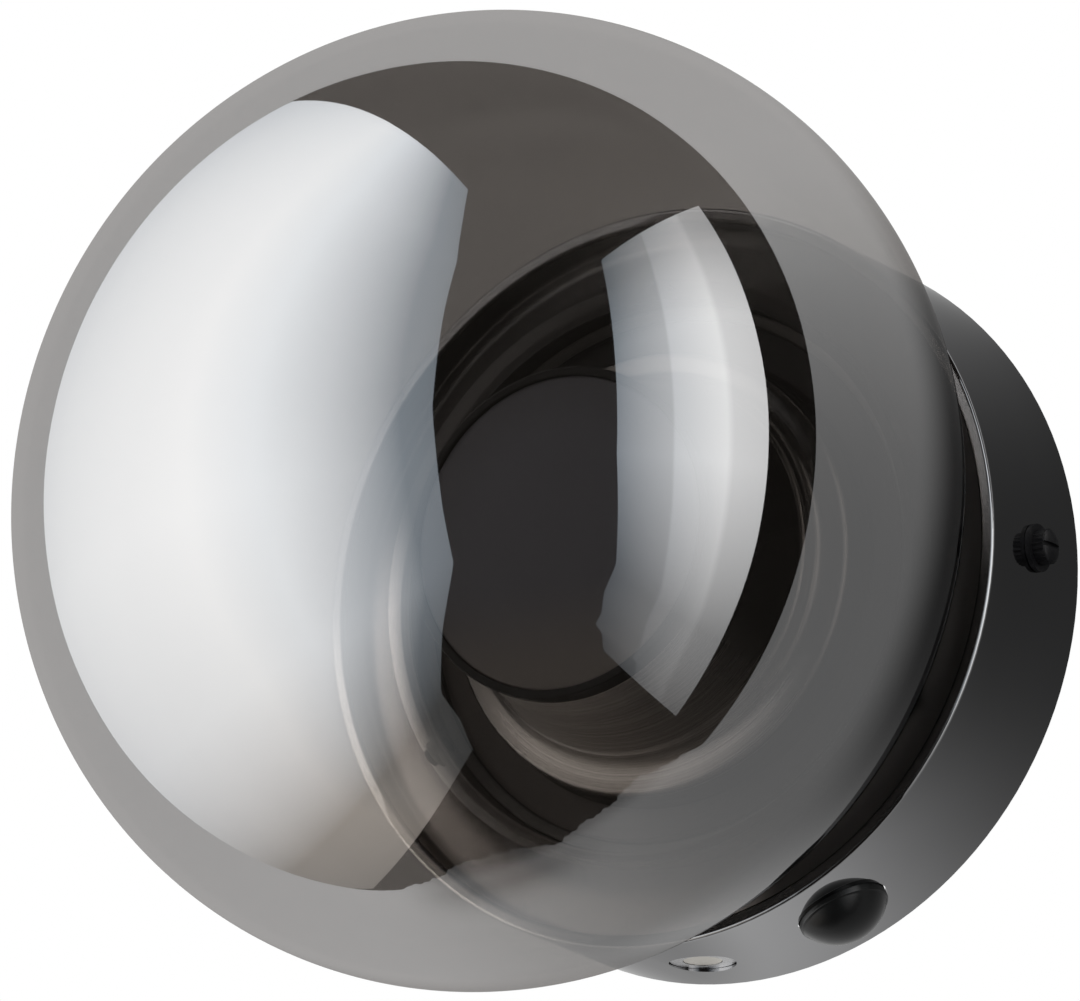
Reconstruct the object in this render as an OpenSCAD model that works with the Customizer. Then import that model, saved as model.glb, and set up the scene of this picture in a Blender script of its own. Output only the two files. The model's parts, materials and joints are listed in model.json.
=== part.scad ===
// Globe wall sconce: a smoked glass globe on a round, polished canopy with two push-buttons in its side.
// The wall face is the plane y = 0, the light stands out along -Y, and +Z is up. Millimetres.

/* [Globe] */
// Radius of the globe, seen from the front
globe_r = 100; // [88:1:115]
// Distance from the middle of the flattened globe to its front
globe_half_depth = 85; // [74:1:100]
// Thickness of the blown glass
glass_wall = 2.6; // [2:0.1:3.5]
// Outer radius of the neck that stands in the holder
neck_r = 58; // [55:0.5:62]
// Length of the straight part of the neck
neck_len = 5; // [4.6:0.1:9]

/* [Canopy] */
// Outer radius of the canopy
canopy_r = 78.3; // [77:0.1:90]
// Depth of the canopy, from the wall to its front edge
canopy_depth = 37; // [36:0.5:46]
// Depth of the dished front behind the front edge
recess_depth = 6.5; // [5:0.5:7.5]
// Width of the folded rim round the dished front
rim_w = 3; // [2.2:0.1:4]
// Thickness of the side wall
canopy_wall = 1.2; // [0.8:0.1:1.6]
// Thickness of the dished front
floor_t = 1.5; // [1:0.1:2]
// Rounding of the rim's two edges
edge_round = 0.8; // [0.3:0.1:1]

/* [Wall bracket] */
// Width of the bracket's bar
bar_w = 26; // [22:1:34]
// Thickness of the bracket's steel
bracket_t = 2; // [1.5:0.1:3]
// Distance between the middles of the two wall slots
slot_spacing = 70; // [64:1:76]
// Length of each wall slot, end to end
slot_len = 14; // [9:0.5:15]
// Width of each wall slot
slot_w = 5; // [4:0.1:6]
// Radius of the opening for the supply cable
cable_r = 5; // [4:0.1:6]

/* [Glass holder] */
// Thickness of the holder's upright wall
holder_wall = 2; // [1.5:0.1:3]
// Thickness of the holder's floor
holder_floor_t = 1.5; // [1:0.1:2]
// Thickness of the gasket under the glass
gasket_t = 1.2; // [0.8:0.1:2]
// Radius of the circle of screws that hold the holder
holder_screw_circle_r = 43; // [40:0.5:44]

/* [Lamp hub] */
// Height of the bell-shaped hub
hub_h = 42.5; // [38:0.5:52]
// Radius of the hub's front end
hub_top_r = 34.8; // [33:0.1:38]
// Room between the hub's foot and the inside of the globe's neck
hub_room = 7.4; // [5:0.1:9.4]
// Thickness of the hub's wall
hub_wall = 2; // [1.6:0.1:2.2]
// Width of the ring round the diffuser, seen from the front
ring_w = 2.6; // [2.6:0.1:4]
// Thickness of the opal diffuser
diffuser_t = 1.8; // [1.2:0.1:2]

/* [Buttons] */
// Radius of the domed switch cap
cap_r = 9.6; // [8:0.05:9.6]
// How far the domed cap stands out of the canopy
cap_h = 6.3; // [3:0.1:7]
// Travel of the domed cap
cap_travel = 2; // [1:0.1:2.5]
// Radius of the small button's bezel
bezel_r = 6.8; // [6.5:0.05:8]
// Radius of the small button
button_r = 4; // [3.4:0.1:4.4]
// Travel of the small button
button_travel = 1; // [0.5:0.1:1.5]

/* [Hidden] */
$fn = 96;

// Clearances: between pieces that move or lift off, between fixed pieces, and beyond a cut
gap = 0.3;
seat_gap = 0.2;
thread_gap = 0.05;
cut = 1;

// Levels out of the wall
inner_r = canopy_r - canopy_wall;
recess_r = canopy_r - rim_w;
floor_top = canopy_depth - recess_depth;
floor_under = floor_top - floor_t;
side_z = canopy_depth / 2;
hub_z = floor_top + holder_floor_t;
hub_top_z = hub_z + hub_h;
neck_z = hub_z + gasket_t + seat_gap;
neck_angle = acos(neck_r / globe_r);
globe_z = neck_z + neck_len + globe_half_depth * sin(neck_angle);
recess_corner_r = 1.2;

// Where things sit round the canopy, as seen from the front, from +X towards +Z
switch_angle = -65;
button_angle = -90;
side_screw_angles = [0, 180];
grub_angles = [90, 210, 330];
holder_screw_angles = [30, 150, 270];

// Side screws and washers
side_shank_r = 2;
side_hole_r = 2.3;
side_washer_r = 5;
side_washer_t = 0.9;
side_head_r = 3.7;
side_head_h = 3.4;
side_ridge = 0.25;
side_ridge_count = 22;
side_dome_h = 0.9;
side_shank_len = 9;
side_slot_w = 1;
side_slot_depth = 0.9;
tab_w = 14;
tab_face = sqrt(pow(inner_r, 2) - pow(tab_w / 2, 2)) - gap;
bar_end = sqrt(pow(inner_r, 2) - pow(bar_w / 2, 2)) - gap;

// Cable bush and earth post
bush_wall = 2.9;
bush_r = cable_r + bush_wall;
bush_flange_w = 2.6;
bush_flange_t = 1.5;
earth_x = -22;
earth_shank_r = 2;
earth_head_r = 3.8;
earth_head_h = 2.4;
earth_washer_r = 4.2;
earth_washer_t = 0.8;
lug_r = 3.9;
lug_t = 0.8;
lug_barrel_r = 1.5;
lug_barrel_len = 5;
lug_z = bracket_t + earth_washer_t;

// Terminal block
block_w = 16;
block_h = 12;
pole_pitch = 8.5;
pole_count = 3;
block_len = pole_count * pole_pitch;
block_room = 10.9;
block_x = tab_face - bracket_t - block_room - block_w / 2;
block_notch = 1.6;
pole_r = 1.6;
pole_rise = 4.5;
pole_z = bracket_t + pole_rise;
terminal_screw_r = 1.5;
terminal_screw_depth = 5;
terminal_screw_place = 4;
fixing_r = 1.5;
fixing_head_r = 2.5;
fixing_head_h = 1.6;

// Glass holder
holder_gap = 0.5;
holder_in_r = neck_r + holder_gap;
holder_out_r = holder_in_r + holder_wall;
holder_floor_r = 38;
holder_lip = 0.6;
holder_screw_r = 1.5;
holder_screw_hole_r = 1.7;
holder_screw_head_r = 2.8;
holder_screw_head_h = 1.8;
grub_r = 2;
grub_len = 5;
grub_socket_r = 1.15;
grub_socket_depth = 2;
grub_boss_r = 3;
grub_boss_len = 1.4;
grub_z = neck_z + neck_len / 2;
holder_h = grub_z + grub_r + holder_lip - floor_top;

// Hub, heat sink and light source
hub_foot_r = neck_r - glass_wall - hub_room;
foot_t = 2;
flare_bend_share = 2.1;
flare_step_count = 20;
ledge_w = 1.4;
ledge_h = 4;
hub_lip = 1.4;
hub_mouth_r = hub_top_r - hub_lip;
ledge_drop = 4.5;
ledge_z = hub_top_z - ledge_drop;
sink_r = hub_mouth_r - seat_gap;
sink_t = 3;
sink_top_z = ledge_z + sink_t;
sink_core_r = 9;
sink_fin_count = 14;
sink_fin_t = 1.6;
sink_fin_h = 20;
sink_low_z = ledge_z - sink_fin_h;
sink_fin_gap = 2.1;
sink_fin_r = hub_mouth_r - ledge_w - sink_fin_gap;
board_t = 1.6;
board_gap = 2.9;
board_r = hub_mouth_r - board_gap;
board_hole_r = 4;
chip_side = 3;
chip_t = 0.7;
chip_ring_shares = [0.42, 0.85];
chip_ring_counts = [6, 12];
board_screw_share = 0.64;
board_screw_r = 1.5;
board_screw_head_r = 2.4;
board_screw_head_h = 1.1;
board_screw_len = 3.4;
board_screw_angles = [30, 150, 270];
ring_lip_t = 0.6;
ring_skirt_t = 0.45;
ring_round = 0.5;
diffuser_window_r = hub_top_r - ring_w;
diffuser_r = hub_mouth_r - ring_skirt_t - seat_gap - gap / 2;
diffuser_skirt_t = 1.2;
diffuser_rise = 1.7;
diffuser_under_z = hub_top_z + diffuser_rise;
diffuser_top_z = diffuser_under_z + diffuser_t;
ring_top_z = diffuser_top_z + ring_lip_t;

// Threaded tube that clamps the hub to the canopy
tube_r = 4.95;
tube_bore_r = 3.4;
tube_nut_r = 8.4;
tube_nut_h = 4;
lock_washer_t = 1;
lock_washer_r = 8.2;
tube_stub = 1;
tube_low_z = floor_under - lock_washer_t - tube_nut_h - tube_stub;
tube_grip = 8;
tube_top_z = sink_low_z + tube_grip;

// Driver
driver_len = 62;
driver_w = 30;
driver_h = 16;
driver_y = 24;
driver_ear_w = 10;
driver_ear_len = 10;
driver_ear_t = 2;
driver_notch_r = 2;
stud_r = 1.5;
stud_hole_r = 1.7;
stud_nut_r = 3.2;
stud_nut_h = 2.4;
stud_len = 6.2;
stud_x = driver_len / 2 + driver_ear_len / 2;
stud_y = driver_y + driver_w / 2;
driver_port_z = floor_under - driver_h / 2;
live_port_x = -20;
neutral_port_x = -13;
led_port_x = 12;
led_port_pitch = 5;
button_port_x = -26;
button_port_pitch = 3;

// Domed switch, measured outwards from the middle of the canopy
cap_wall = 1.2;
cap_skirt = 4.3;
cap_side_h = 0.35;
cap_stem_r = 2.4;
cap_stem_gap = 0.3;
cap_top = canopy_r + cap_h;
cap_low = canopy_r - cap_skirt;
cap_dome_h = cap_h - cap_side_h;
cap_dome_r = (pow(cap_r, 2) + pow(cap_dome_h, 2)) / (2 * cap_dome_h);
cap_inner_r = cap_r - cap_wall;
cap_inner_dome_r = cap_dome_r - cap_wall;
dome_step_count = 10;
switch_neck_r = 6;
switch_neck_top = cap_low - cap_travel - 2 * gap;
switch_neck_len = 5;
switch_side = 16;
switch_len = 18.5;
switch_nut_t = 2.8;
switch_nut_r = 8.2;
switch_plate_t = 1.5;
switch_body_top = switch_neck_top - switch_neck_len;
switch_plate_w = 20;
switch_foot_len = 16;
switch_lug_len = 5;
switch_lug_w = 4;
switch_lug_t = 0.8;
switch_lug_place = 4;
switch_rear = switch_body_top - switch_len - switch_lug_len - seat_gap;
cap_stem_reach = 11.5;
cap_stem_low = switch_neck_top - cap_stem_reach;
switch_bore_depth = switch_neck_top - cap_stem_low + cap_travel + gap;
switch_spring_r = 4.4;
switch_spring_wire_r = 0.45;
switch_spring_turn_count = 4;

// Small metal button, measured outwards from the middle of the canopy
bezel_t = 0.7;
bezel_sink = 0.7;
bezel_top = canopy_r - bezel_sink;
bezel_seat = bezel_top - bezel_t;
bezel_hole_gap = 0.2;
pad_r = 8.5;
pad_t = 2.1;
pad_low = bezel_seat - pad_t;
barrel_r = 6;
barrel_len = 18.9;
barrel_low = bezel_seat - barrel_len;
barrel_bore_r = 5;
barrel_lip = 3.1;
button_gap = 0.1;
button_dip = 0.1;
button_shoulder_r = 4.7;
button_shoulder_t = 2.5;
button_stem_r = 1.3;
button_nut_t = 3;
button_nut_r = 8;
base_t = 3.5;
base_pin_r = 0.7;
base_pin_len = 4;
base_pin_place = 2;
shoulder_top = bezel_top - barrel_lip - gap;
shoulder_low = shoulder_top - button_shoulder_t;
button_stem_len = shoulder_low - barrel_low - base_t - button_travel - gap;
button_spring_r = 3.4;
button_spring_wire_r = 0.35;
button_spring_turn_count = 6;

// Leads and springs
mains_lead_r = 1.1;
thin_lead_r = 0.6;
lead_side_count = 8;
coil_step_count = 12;
coil_side_count = 6;
corner_share = 0.25;
lead_smooth_count = 2;
lead_slack = 8;

// Turns a piece that is drawn with z out of the wall and y up
module out_of_wall() {
    rotate([90, 0, 0]) children();
}

// Stands a piece on the canopy's side at an angle, with its z axis outwards from the middle
module at_side(angle, z = side_z) {
    rotate([0, 0, angle]) translate([0, 0, z]) rotate([0, 90, 0]) children();
}

module ring(r_in, r_out, h) {
    difference() {
        cylinder(r = r_out, h = h);
        translate([0, 0, -cut]) cylinder(r = r_in, h = h + 2 * cut);
    }
}

module hex_nut(r, bore, h) {
    difference() {
        cylinder(r = r, h = h, $fn = 6);
        translate([0, 0, -cut]) cylinder(r = bore, h = h + 2 * cut);
    }
}

// Points of an arc about [x, y]
function arc(x, y, r, from, to, steps = 6) =
    [for (i = [0:steps]) let (a = from + (to - from) * i / steps) [x + r * cos(a), y + r * sin(a)]];

// A place at the canopy's side: outwards, along the wall, and out of the wall
function side_place(angle, outwards, along, z) =
    [outwards * cos(angle) - along * sin(angle), outwards * sin(angle) + along * cos(angle), z];

// Rounds the corners of a route and keeps its ends
function cut_corners(p) = [
    p[0],
    for (i = [0:len(p) - 2])
        each [p[i] + (p[i + 1] - p[i]) * corner_share, p[i + 1] - (p[i + 1] - p[i]) * corner_share],
    p[len(p) - 1]
];
function smooth(p, times) = times == 0 ? p : smooth(cut_corners(p), times - 1);
function unit(v) = v / norm(v);
function heading(p, i) = unit(p[min(i + 1, len(p) - 1)] - p[max(i - 1, 0)]);
function level(v, t) = unit(v - (v * t) * t);
function first_normal(t) = level(abs(t[2]) < max(abs(t[0]), abs(t[1])) ? [0, 0, 1] : [1, 0, 0], t);
function normals(p, i, last) =
    i == len(p) ? [] : let (n = level(last, heading(p, i))) concat([n], normals(p, i + 1, n));

// A round tube along a route of points
module tube(p, r, sides = lead_side_count) {
    n = normals(p, 0, first_normal(heading(p, 0)));
    points = [for (i = [0:len(p) - 1]) for (k = [0:sides - 1])
        let (a = 360 * k / sides, t = heading(p, i))
        p[i] + r * cos(a) * n[i] + r * sin(a) * cross(t, n[i])];
    last = (len(p) - 1) * sides;
    faces = concat(
        [[for (k = [0:sides - 1]) k]],
        [[for (k = [sides - 1:-1:0]) last + k]],
        [for (i = [0:len(p) - 2]) for (k = [0:sides - 1])
            let (a = i * sides + k, b = i * sides + (k + 1) % sides)
            each [[a, a + sides, b], [b, a + sides, b + sides]]]
    );
    polyhedron(points = points, faces = faces, convexity = 10);
}

module lead(route, r) {
    tube(smooth(route, lead_smooth_count), r);
}

// A coil spring that stands on z = 0
module coil(r, wire_r, h, turns) {
    steps = coil_step_count * turns;
    tube([for (i = [0:steps]) let (a = 360 * i / coil_step_count)
        [r * cos(a), r * sin(a), wire_r + (h - 2 * wire_r) * i / steps]], wire_r, coil_side_count);
}

// Bracket, earth post and supply terminals
module wall_bracket() {
    color("#b9bdc0") out_of_wall() difference() {
        union() {
            translate([-bar_end, -bar_w / 2, 0]) cube([2 * bar_end, bar_w, bracket_t]);
            translate([-tab_face, -tab_w / 2, 0]) cube([2 * tab_face, tab_w, bracket_t]);
            for (a = side_screw_angles) rotate([0, 0, a]) {
                translate([tab_face - bracket_t, -tab_w / 2, 0]) cube([bracket_t, tab_w, side_z]);
                translate([tab_face - bracket_t, 0, side_z]) rotate([0, 90, 0])
                    cylinder(r = tab_w / 2, h = bracket_t);
            }
        }
        for (side = [-1, 1]) translate([side * slot_spacing / 2, 0, -cut]) wall_slot();
        translate([0, 0, -cut]) cylinder(r = bush_r + button_gap, h = bracket_t + 2 * cut);
        translate([earth_x, 0, -cut]) cylinder(r = earth_shank_r, h = bracket_t + 2 * cut);
        translate([block_x, pole_pitch / 2, -cut]) cylinder(r = fixing_r, h = bracket_t + 2 * cut);
        for (a = side_screw_angles) at_side(a) translate([0, 0, tab_face - bracket_t - cut])
            cylinder(r = side_shank_r, h = bracket_t + 2 * cut);
    }
}

module wall_slot() {
    reach = (slot_len - slot_w) / 2;
    for (side = [-1, 1]) translate([side * reach, 0, 0]) cylinder(r = slot_w / 2, h = bracket_t + 2 * cut);
    translate([-reach, -slot_w / 2, 0]) cube([2 * reach, slot_w, bracket_t + 2 * cut]);
}

module cable_bush() {
    color("#202020") out_of_wall() difference() {
        union() {
            cylinder(r = bush_r, h = bracket_t + bush_flange_t);
            translate([0, 0, bracket_t]) cylinder(r = bush_r + bush_flange_w, h = bush_flange_t);
        }
        translate([0, 0, -cut]) cylinder(r = cable_r, h = bracket_t + bush_flange_t + 2 * cut);
    }
}

module earth_screw() {
    top = lug_z + lug_t;
    color("#c8a24a") out_of_wall() translate([earth_x, 0, 0]) difference() {
        union() {
            cylinder(r = earth_shank_r - thread_gap, h = top + thread_gap);
            translate([0, 0, top]) cylinder(r = earth_head_r, h = earth_head_h);
        }
        translate([-earth_head_r - cut, -side_slot_w / 2, top + earth_head_h - side_slot_depth])
            cube([2 * earth_head_r + 2 * cut, side_slot_w, side_slot_depth + cut]);
    }
}

module earth_washer() {
    color("#c9ccce") out_of_wall() translate([earth_x, 0, bracket_t])
        ring(earth_shank_r + button_gap, earth_washer_r, earth_washer_t);
}

module earth_lug() {
    color("#d0c9a0") out_of_wall() translate([earth_x, 0, lug_z]) difference() {
        union() {
            cylinder(r = lug_r, h = lug_t);
            translate([-lug_barrel_r, 0, 0]) cube([2 * lug_barrel_r, lug_r + lug_t, lug_t]);
            translate([0, lug_r + lug_t / 2, lug_barrel_r]) rotate([-90, 0, 0])
                cylinder(r = lug_barrel_r, h = lug_barrel_len);
        }
        translate([0, 0, -cut]) cylinder(r = earth_shank_r + button_gap, h = lug_t + 2 * cut);
        translate([0, lug_r + lug_t, lug_barrel_r]) rotate([-90, 0, 0])
            cylinder(r = mains_lead_r + button_gap, h = lug_barrel_len + cut);
    }
}

function pole_y(i) = (i - (pole_count - 1) / 2) * pole_pitch;

module terminal_block() {
    top = bracket_t + block_h;
    notch_low = top - block_h / 2;
    notch_len = block_w / 2 - fixing_head_r - terminal_screw_r;
    color("#e8e6dd") out_of_wall() difference() {
        translate([block_x - block_w / 2, -block_len / 2, bracket_t]) cube([block_w, block_len, block_h]);
        for (i = [0:pole_count - 1]) translate([block_x, pole_y(i), 0]) {
            translate([-block_w / 2 - cut, 0, pole_z]) rotate([0, 90, 0])
                cylinder(r = pole_r, h = block_w + 2 * cut);
            for (side = [-1, 1]) translate([side * terminal_screw_place, 0, pole_z])
                cylinder(r = terminal_screw_r + button_gap, h = block_h);
        }
        for (side = [-1, 1])
            translate([block_x - block_w / 2 - cut, (side * pole_pitch - block_notch) / 2, notch_low])
                cube([notch_len + cut, block_notch, block_h]);
        translate([block_x, pole_pitch / 2, bracket_t - cut])
            cylinder(r = fixing_r + button_gap, h = block_h + 2 * cut);
        translate([block_x, pole_pitch / 2, top - 2 * fixing_head_h])
            cylinder(r = fixing_head_r + button_gap, h = block_h);
    }
}

module terminal_screws() {
    low = pole_z + pole_r + seat_gap;
    color("#cbb27a") out_of_wall()
        for (i = [0:pole_count - 1]) for (side = [-1, 1])
            translate([block_x + side * terminal_screw_place, pole_y(i), low])
                cylinder(r = terminal_screw_r, h = terminal_screw_depth);
}

module terminal_fixing_screw() {
    seat = bracket_t + block_h - 2 * fixing_head_h;
    color("#c9ccce") out_of_wall() translate([block_x, pole_pitch / 2, 0]) {
        cylinder(r = fixing_r - thread_gap, h = seat + thread_gap);
        translate([0, 0, seat]) cylinder(r = fixing_head_r, h = fixing_head_h);
    }
}

// Canopy and the screws in its side
module canopy_profile() {
    e = edge_round;
    c = recess_corner_r;
    polygon(concat(
        [[inner_r, 0], [canopy_r, 0]],
        arc(canopy_r - e, canopy_depth - e, e, 0, 90),
        arc(recess_r + e, canopy_depth - e, e, 90, 180),
        arc(recess_r - c, floor_top + c, c, 0, -90),
        [[0, floor_top], [0, floor_under], [inner_r, floor_under]]
    ));
}

module canopy_shell() {
    color("#4a4b4e") out_of_wall() difference() {
        union() {
            rotate_extrude($fn = 180) canopy_profile();
            intersection() {
                at_side(button_angle) translate([0, 0, pad_low]) cylinder(r = pad_r, h = pad_t + cut);
                cylinder(r = inner_r + canopy_wall / 2, h = floor_top - floor_t / 2);
            }
            for (side = [-1, 1]) translate([side * stud_x, stud_y, floor_under - stud_len])
                cylinder(r = stud_r, h = stud_len + floor_t / 2);
        }
        translate([0, 0, floor_under - cut]) cylinder(r = tube_r + seat_gap, h = floor_t + 2 * cut);
        for (a = holder_screw_angles) rotate([0, 0, a])
            translate([holder_screw_circle_r, 0, floor_under - cut])
                cylinder(r = holder_screw_hole_r, h = floor_t + 2 * cut);
        for (a = side_screw_angles) at_side(a) translate([0, 0, inner_r - side_washer_r])
            cylinder(r = side_hole_r, h = canopy_wall + 2 * side_washer_r);
        at_side(switch_angle) translate([0, 0, cap_low - cap_travel])
            cylinder(r = cap_r + gap, h = cap_skirt + cap_travel + cap_h);
        at_side(button_angle) translate([0, 0, pad_low - cut])
            cylinder(r = barrel_r + bezel_hole_gap, h = pad_t + bezel_t + bezel_sink + 2 * cut);
        at_side(button_angle) translate([0, 0, bezel_seat])
            cylinder(r = bezel_r + bezel_hole_gap, h = bezel_t + bezel_sink + cut);
    }
}

module side_head() {
    dome_r = side_head_r - side_ridge;
    difference() {
        union() {
            linear_extrude(height = side_head_h - side_dome_h)
                polygon([for (i = [0:2 * side_ridge_count - 1])
                    let (a = 180 * i / side_ridge_count, r = side_head_r - side_ridge * (i % 2))
                    [r * cos(a), r * sin(a)]]);
            translate([0, 0, side_head_h - side_dome_h]) rotate_extrude()
                polygon(concat([[0, -side_dome_h / 2], [dome_r, -side_dome_h / 2]],
                    [for (a = [0:15:90]) [dome_r * cos(a), side_dome_h * sin(a)]]));
        }
        translate([-side_head_r, -side_slot_w / 2, side_head_h - side_slot_depth])
            cube([2 * side_head_r, side_slot_w, side_slot_depth + cut]);
    }
}

module side_screws() {
    head_z = canopy_r + thread_gap + side_washer_t;
    color("#141414") out_of_wall() for (a = side_screw_angles) at_side(a) {
        translate([0, 0, head_z]) side_head();
        translate([0, 0, head_z - side_shank_len])
            cylinder(r = side_shank_r - thread_gap, h = side_shank_len + thread_gap);
    }
}

module side_washers() {
    color("#101010") out_of_wall() for (a = side_screw_angles) at_side(a)
        translate([0, 0, canopy_r + thread_gap])
            ring(side_shank_r + seat_gap, side_washer_r, side_washer_t);
}

// Globe and the holder round its neck
module glass_globe() {
    inner_neck_r = neck_r - glass_wall;
    inner_globe_r = globe_r - glass_wall;
    inner_half = globe_half_depth - glass_wall;
    inner_angle = acos(inner_neck_r / inner_globe_r);
    steps = 48;
    color("#7d7f82", 0.6) out_of_wall() rotate_extrude($fn = 180) polygon(concat(
        [[neck_r, neck_z]],
        [for (i = [0:steps]) let (a = -neck_angle + (90 + neck_angle) * i / steps)
            [globe_r * max(0, cos(a)), globe_z + globe_half_depth * sin(a)]],
        [for (i = [steps:-1:0]) let (a = -inner_angle + (90 + inner_angle) * i / steps)
            [inner_globe_r * max(0, cos(a)), globe_z + inner_half * sin(a)]],
        [[inner_neck_r, neck_z]]
    ));
}

module holder_ring() {
    color("#2a2a2c") out_of_wall() difference() {
        union() {
            translate([0, 0, floor_top]) rotate_extrude($fn = 180) polygon([
                [holder_floor_r, 0], [holder_out_r, 0], [holder_out_r, holder_h],
                [holder_in_r, holder_h], [holder_in_r, holder_floor_t], [holder_floor_r, holder_floor_t]
            ]);
            for (a = grub_angles) at_side(a, grub_z) translate([0, 0, holder_in_r + holder_wall / 2])
                cylinder(r = grub_boss_r, h = holder_wall / 2 + grub_boss_len);
        }
        for (a = grub_angles) at_side(a, grub_z) translate([0, 0, holder_in_r - holder_wall])
            cylinder(r = grub_r, h = 3 * holder_wall + grub_boss_len);
        for (a = holder_screw_angles) rotate([0, 0, a])
            translate([holder_screw_circle_r, 0, floor_top - cut])
                cylinder(r = holder_screw_r, h = holder_floor_t + 2 * cut);
    }
}

module holder_screws() {
    color("#c9ccce") out_of_wall() for (a = holder_screw_angles)
        rotate([0, 0, a]) translate([holder_screw_circle_r, 0, floor_under - holder_screw_head_h]) {
            cylinder(r = holder_screw_head_r, h = holder_screw_head_h);
            cylinder(r = holder_screw_r - thread_gap,
                h = holder_screw_head_h + floor_t + holder_floor_t - seat_gap);
        }
}

module globe_gasket() {
    color("#262626") out_of_wall() translate([0, 0, hub_z])
        ring(neck_r - glass_wall, holder_in_r - seat_gap, gasket_t);
}

module grub_screws() {
    color("#1a1a1a") out_of_wall() for (a = grub_angles) at_side(a, grub_z)
        translate([0, 0, neck_r + gap]) difference() {
            cylinder(r = grub_r - thread_gap, h = grub_len);
            translate([0, 0, grub_len - grub_socket_depth])
                cylinder(r = grub_socket_r, h = grub_socket_depth + cut, $fn = 6);
        }
}

// Hub, heat sink and light source
// Radius of the hub's flare at a height above its foot
function flare_r(z) =
    hub_top_r + (hub_foot_r - hub_top_r) * pow((hub_h - z) / (hub_h - foot_t), flare_bend_share);

module lamp_hub() {
    ledge_r = hub_mouth_r - ledge_w;
    ledge_high = ledge_z - hub_z;
    ledge_low = ledge_high - ledge_h;
    inner_top = ledge_low - ledge_h;
    n = flare_step_count;
    color("#232325") out_of_wall() translate([0, 0, hub_z]) rotate_extrude($fn = 180) polygon(concat(
        [[hub_foot_r - hub_wall, 0], [hub_foot_r, 0]],
        [for (i = [0:n]) let (z = foot_t + (hub_h - foot_t) * i / n) [flare_r(z), z]],
        [[hub_mouth_r, hub_h], [hub_mouth_r, ledge_high], [ledge_r, ledge_high], [ledge_r, ledge_low]],
        [for (i = [n:-1:0]) let (z = foot_t + (inner_top - foot_t) * i / n)
            [flare_r(z) - hub_wall, z]]
    ));
}

module heat_sink() {
    color("#c4c7ca") out_of_wall() difference() {
        union() {
            translate([0, 0, ledge_z]) cylinder(r = sink_r, h = sink_t);
            translate([0, 0, sink_low_z]) cylinder(r = sink_core_r, h = sink_fin_h + sink_t / 2);
            for (i = [0:sink_fin_count - 1]) rotate([0, 0, 360 * i / sink_fin_count])
                translate([sink_core_r - sink_fin_t, -sink_fin_t / 2, sink_low_z])
                    cube([sink_fin_r - sink_core_r + sink_fin_t, sink_fin_t, sink_fin_h + sink_t / 2]);
        }
        translate([0, 0, sink_low_z - cut])
            cylinder(r = tube_r + thread_gap, h = tube_grip + cut + seat_gap);
        translate([0, 0, sink_low_z]) cylinder(r = tube_bore_r, h = sink_fin_h + sink_t + cut);
        for (a = board_screw_angles) rotate([0, 0, a])
            translate([board_screw_share * board_r, 0, sink_top_z - board_screw_len + board_t - seat_gap])
                cylinder(r = board_screw_r, h = board_screw_len + cut);
    }
}

module led_board() {
    color("#f1f1ee") out_of_wall() translate([0, 0, sink_top_z]) difference() {
        cylinder(r = board_r, h = board_t);
        translate([0, 0, -cut]) cylinder(r = board_hole_r, h = board_t + 2 * cut);
        for (a = board_screw_angles) rotate([0, 0, a]) translate([board_screw_share * board_r, 0, -cut])
            cylinder(r = board_screw_r + button_gap, h = board_t + 2 * cut);
    }
}

module led_chips() {
    color("#e9c83f") out_of_wall() translate([0, 0, sink_top_z + board_t])
        for (k = [0:len(chip_ring_shares) - 1]) for (i = [0:chip_ring_counts[k] - 1])
            rotate([0, 0, 360 * i / chip_ring_counts[k] + 360 / chip_ring_counts[k] / 4])
                translate([chip_ring_shares[k] * board_r, 0, chip_t / 2])
                    cube([chip_side, chip_side, chip_t], center = true);
}

module board_screws() {
    color("#c9ccce") out_of_wall() for (a = board_screw_angles) rotate([0, 0, a])
        translate([board_screw_share * board_r, 0, sink_top_z + board_t]) {
            cylinder(r = board_screw_head_r, h = board_screw_head_h);
            translate([0, 0, -board_screw_len])
                cylinder(r = board_screw_r - thread_gap, h = board_screw_len);
        }
}

module diffuser() {
    color("#eceae4") out_of_wall() {
        translate([0, 0, diffuser_under_z]) cylinder(r = diffuser_r, h = diffuser_t);
        translate([0, 0, sink_top_z])
            ring(diffuser_r - diffuser_skirt_t, diffuser_r, diffuser_under_z - sink_top_z + diffuser_t / 2);
    }
}

module diffuser_ring() {
    bore_r = diffuser_r + seat_gap;
    skirt_low = sink_top_z + seat_gap;
    skirt_r = bore_r + ring_skirt_t;
    e = ring_round;
    color("#18181a") out_of_wall() rotate_extrude($fn = 180) polygon(concat(
        [[bore_r, skirt_low], [skirt_r, skirt_low], [skirt_r, hub_top_z], [hub_top_r, hub_top_z]],
        arc(hub_top_r - e, ring_top_z - e, e, 0, 90),
        [[diffuser_window_r, ring_top_z], [diffuser_window_r, diffuser_top_z], [bore_r, diffuser_top_z]]
    ));
}

module lamp_tube() {
    color("#b8a060") out_of_wall() translate([0, 0, tube_low_z])
        ring(tube_bore_r, tube_r, tube_top_z - tube_low_z);
}

module lamp_tube_nut() {
    color("#c9ccce") out_of_wall() translate([0, 0, floor_under - lock_washer_t - tube_nut_h])
        hex_nut(tube_nut_r, tube_r + thread_gap, tube_nut_h);
}

module lock_washer() {
    color("#b0b4b6") out_of_wall() translate([0, 0, floor_under - lock_washer_t])
        ring(tube_r + seat_gap, lock_washer_r, lock_washer_t);
}

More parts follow.
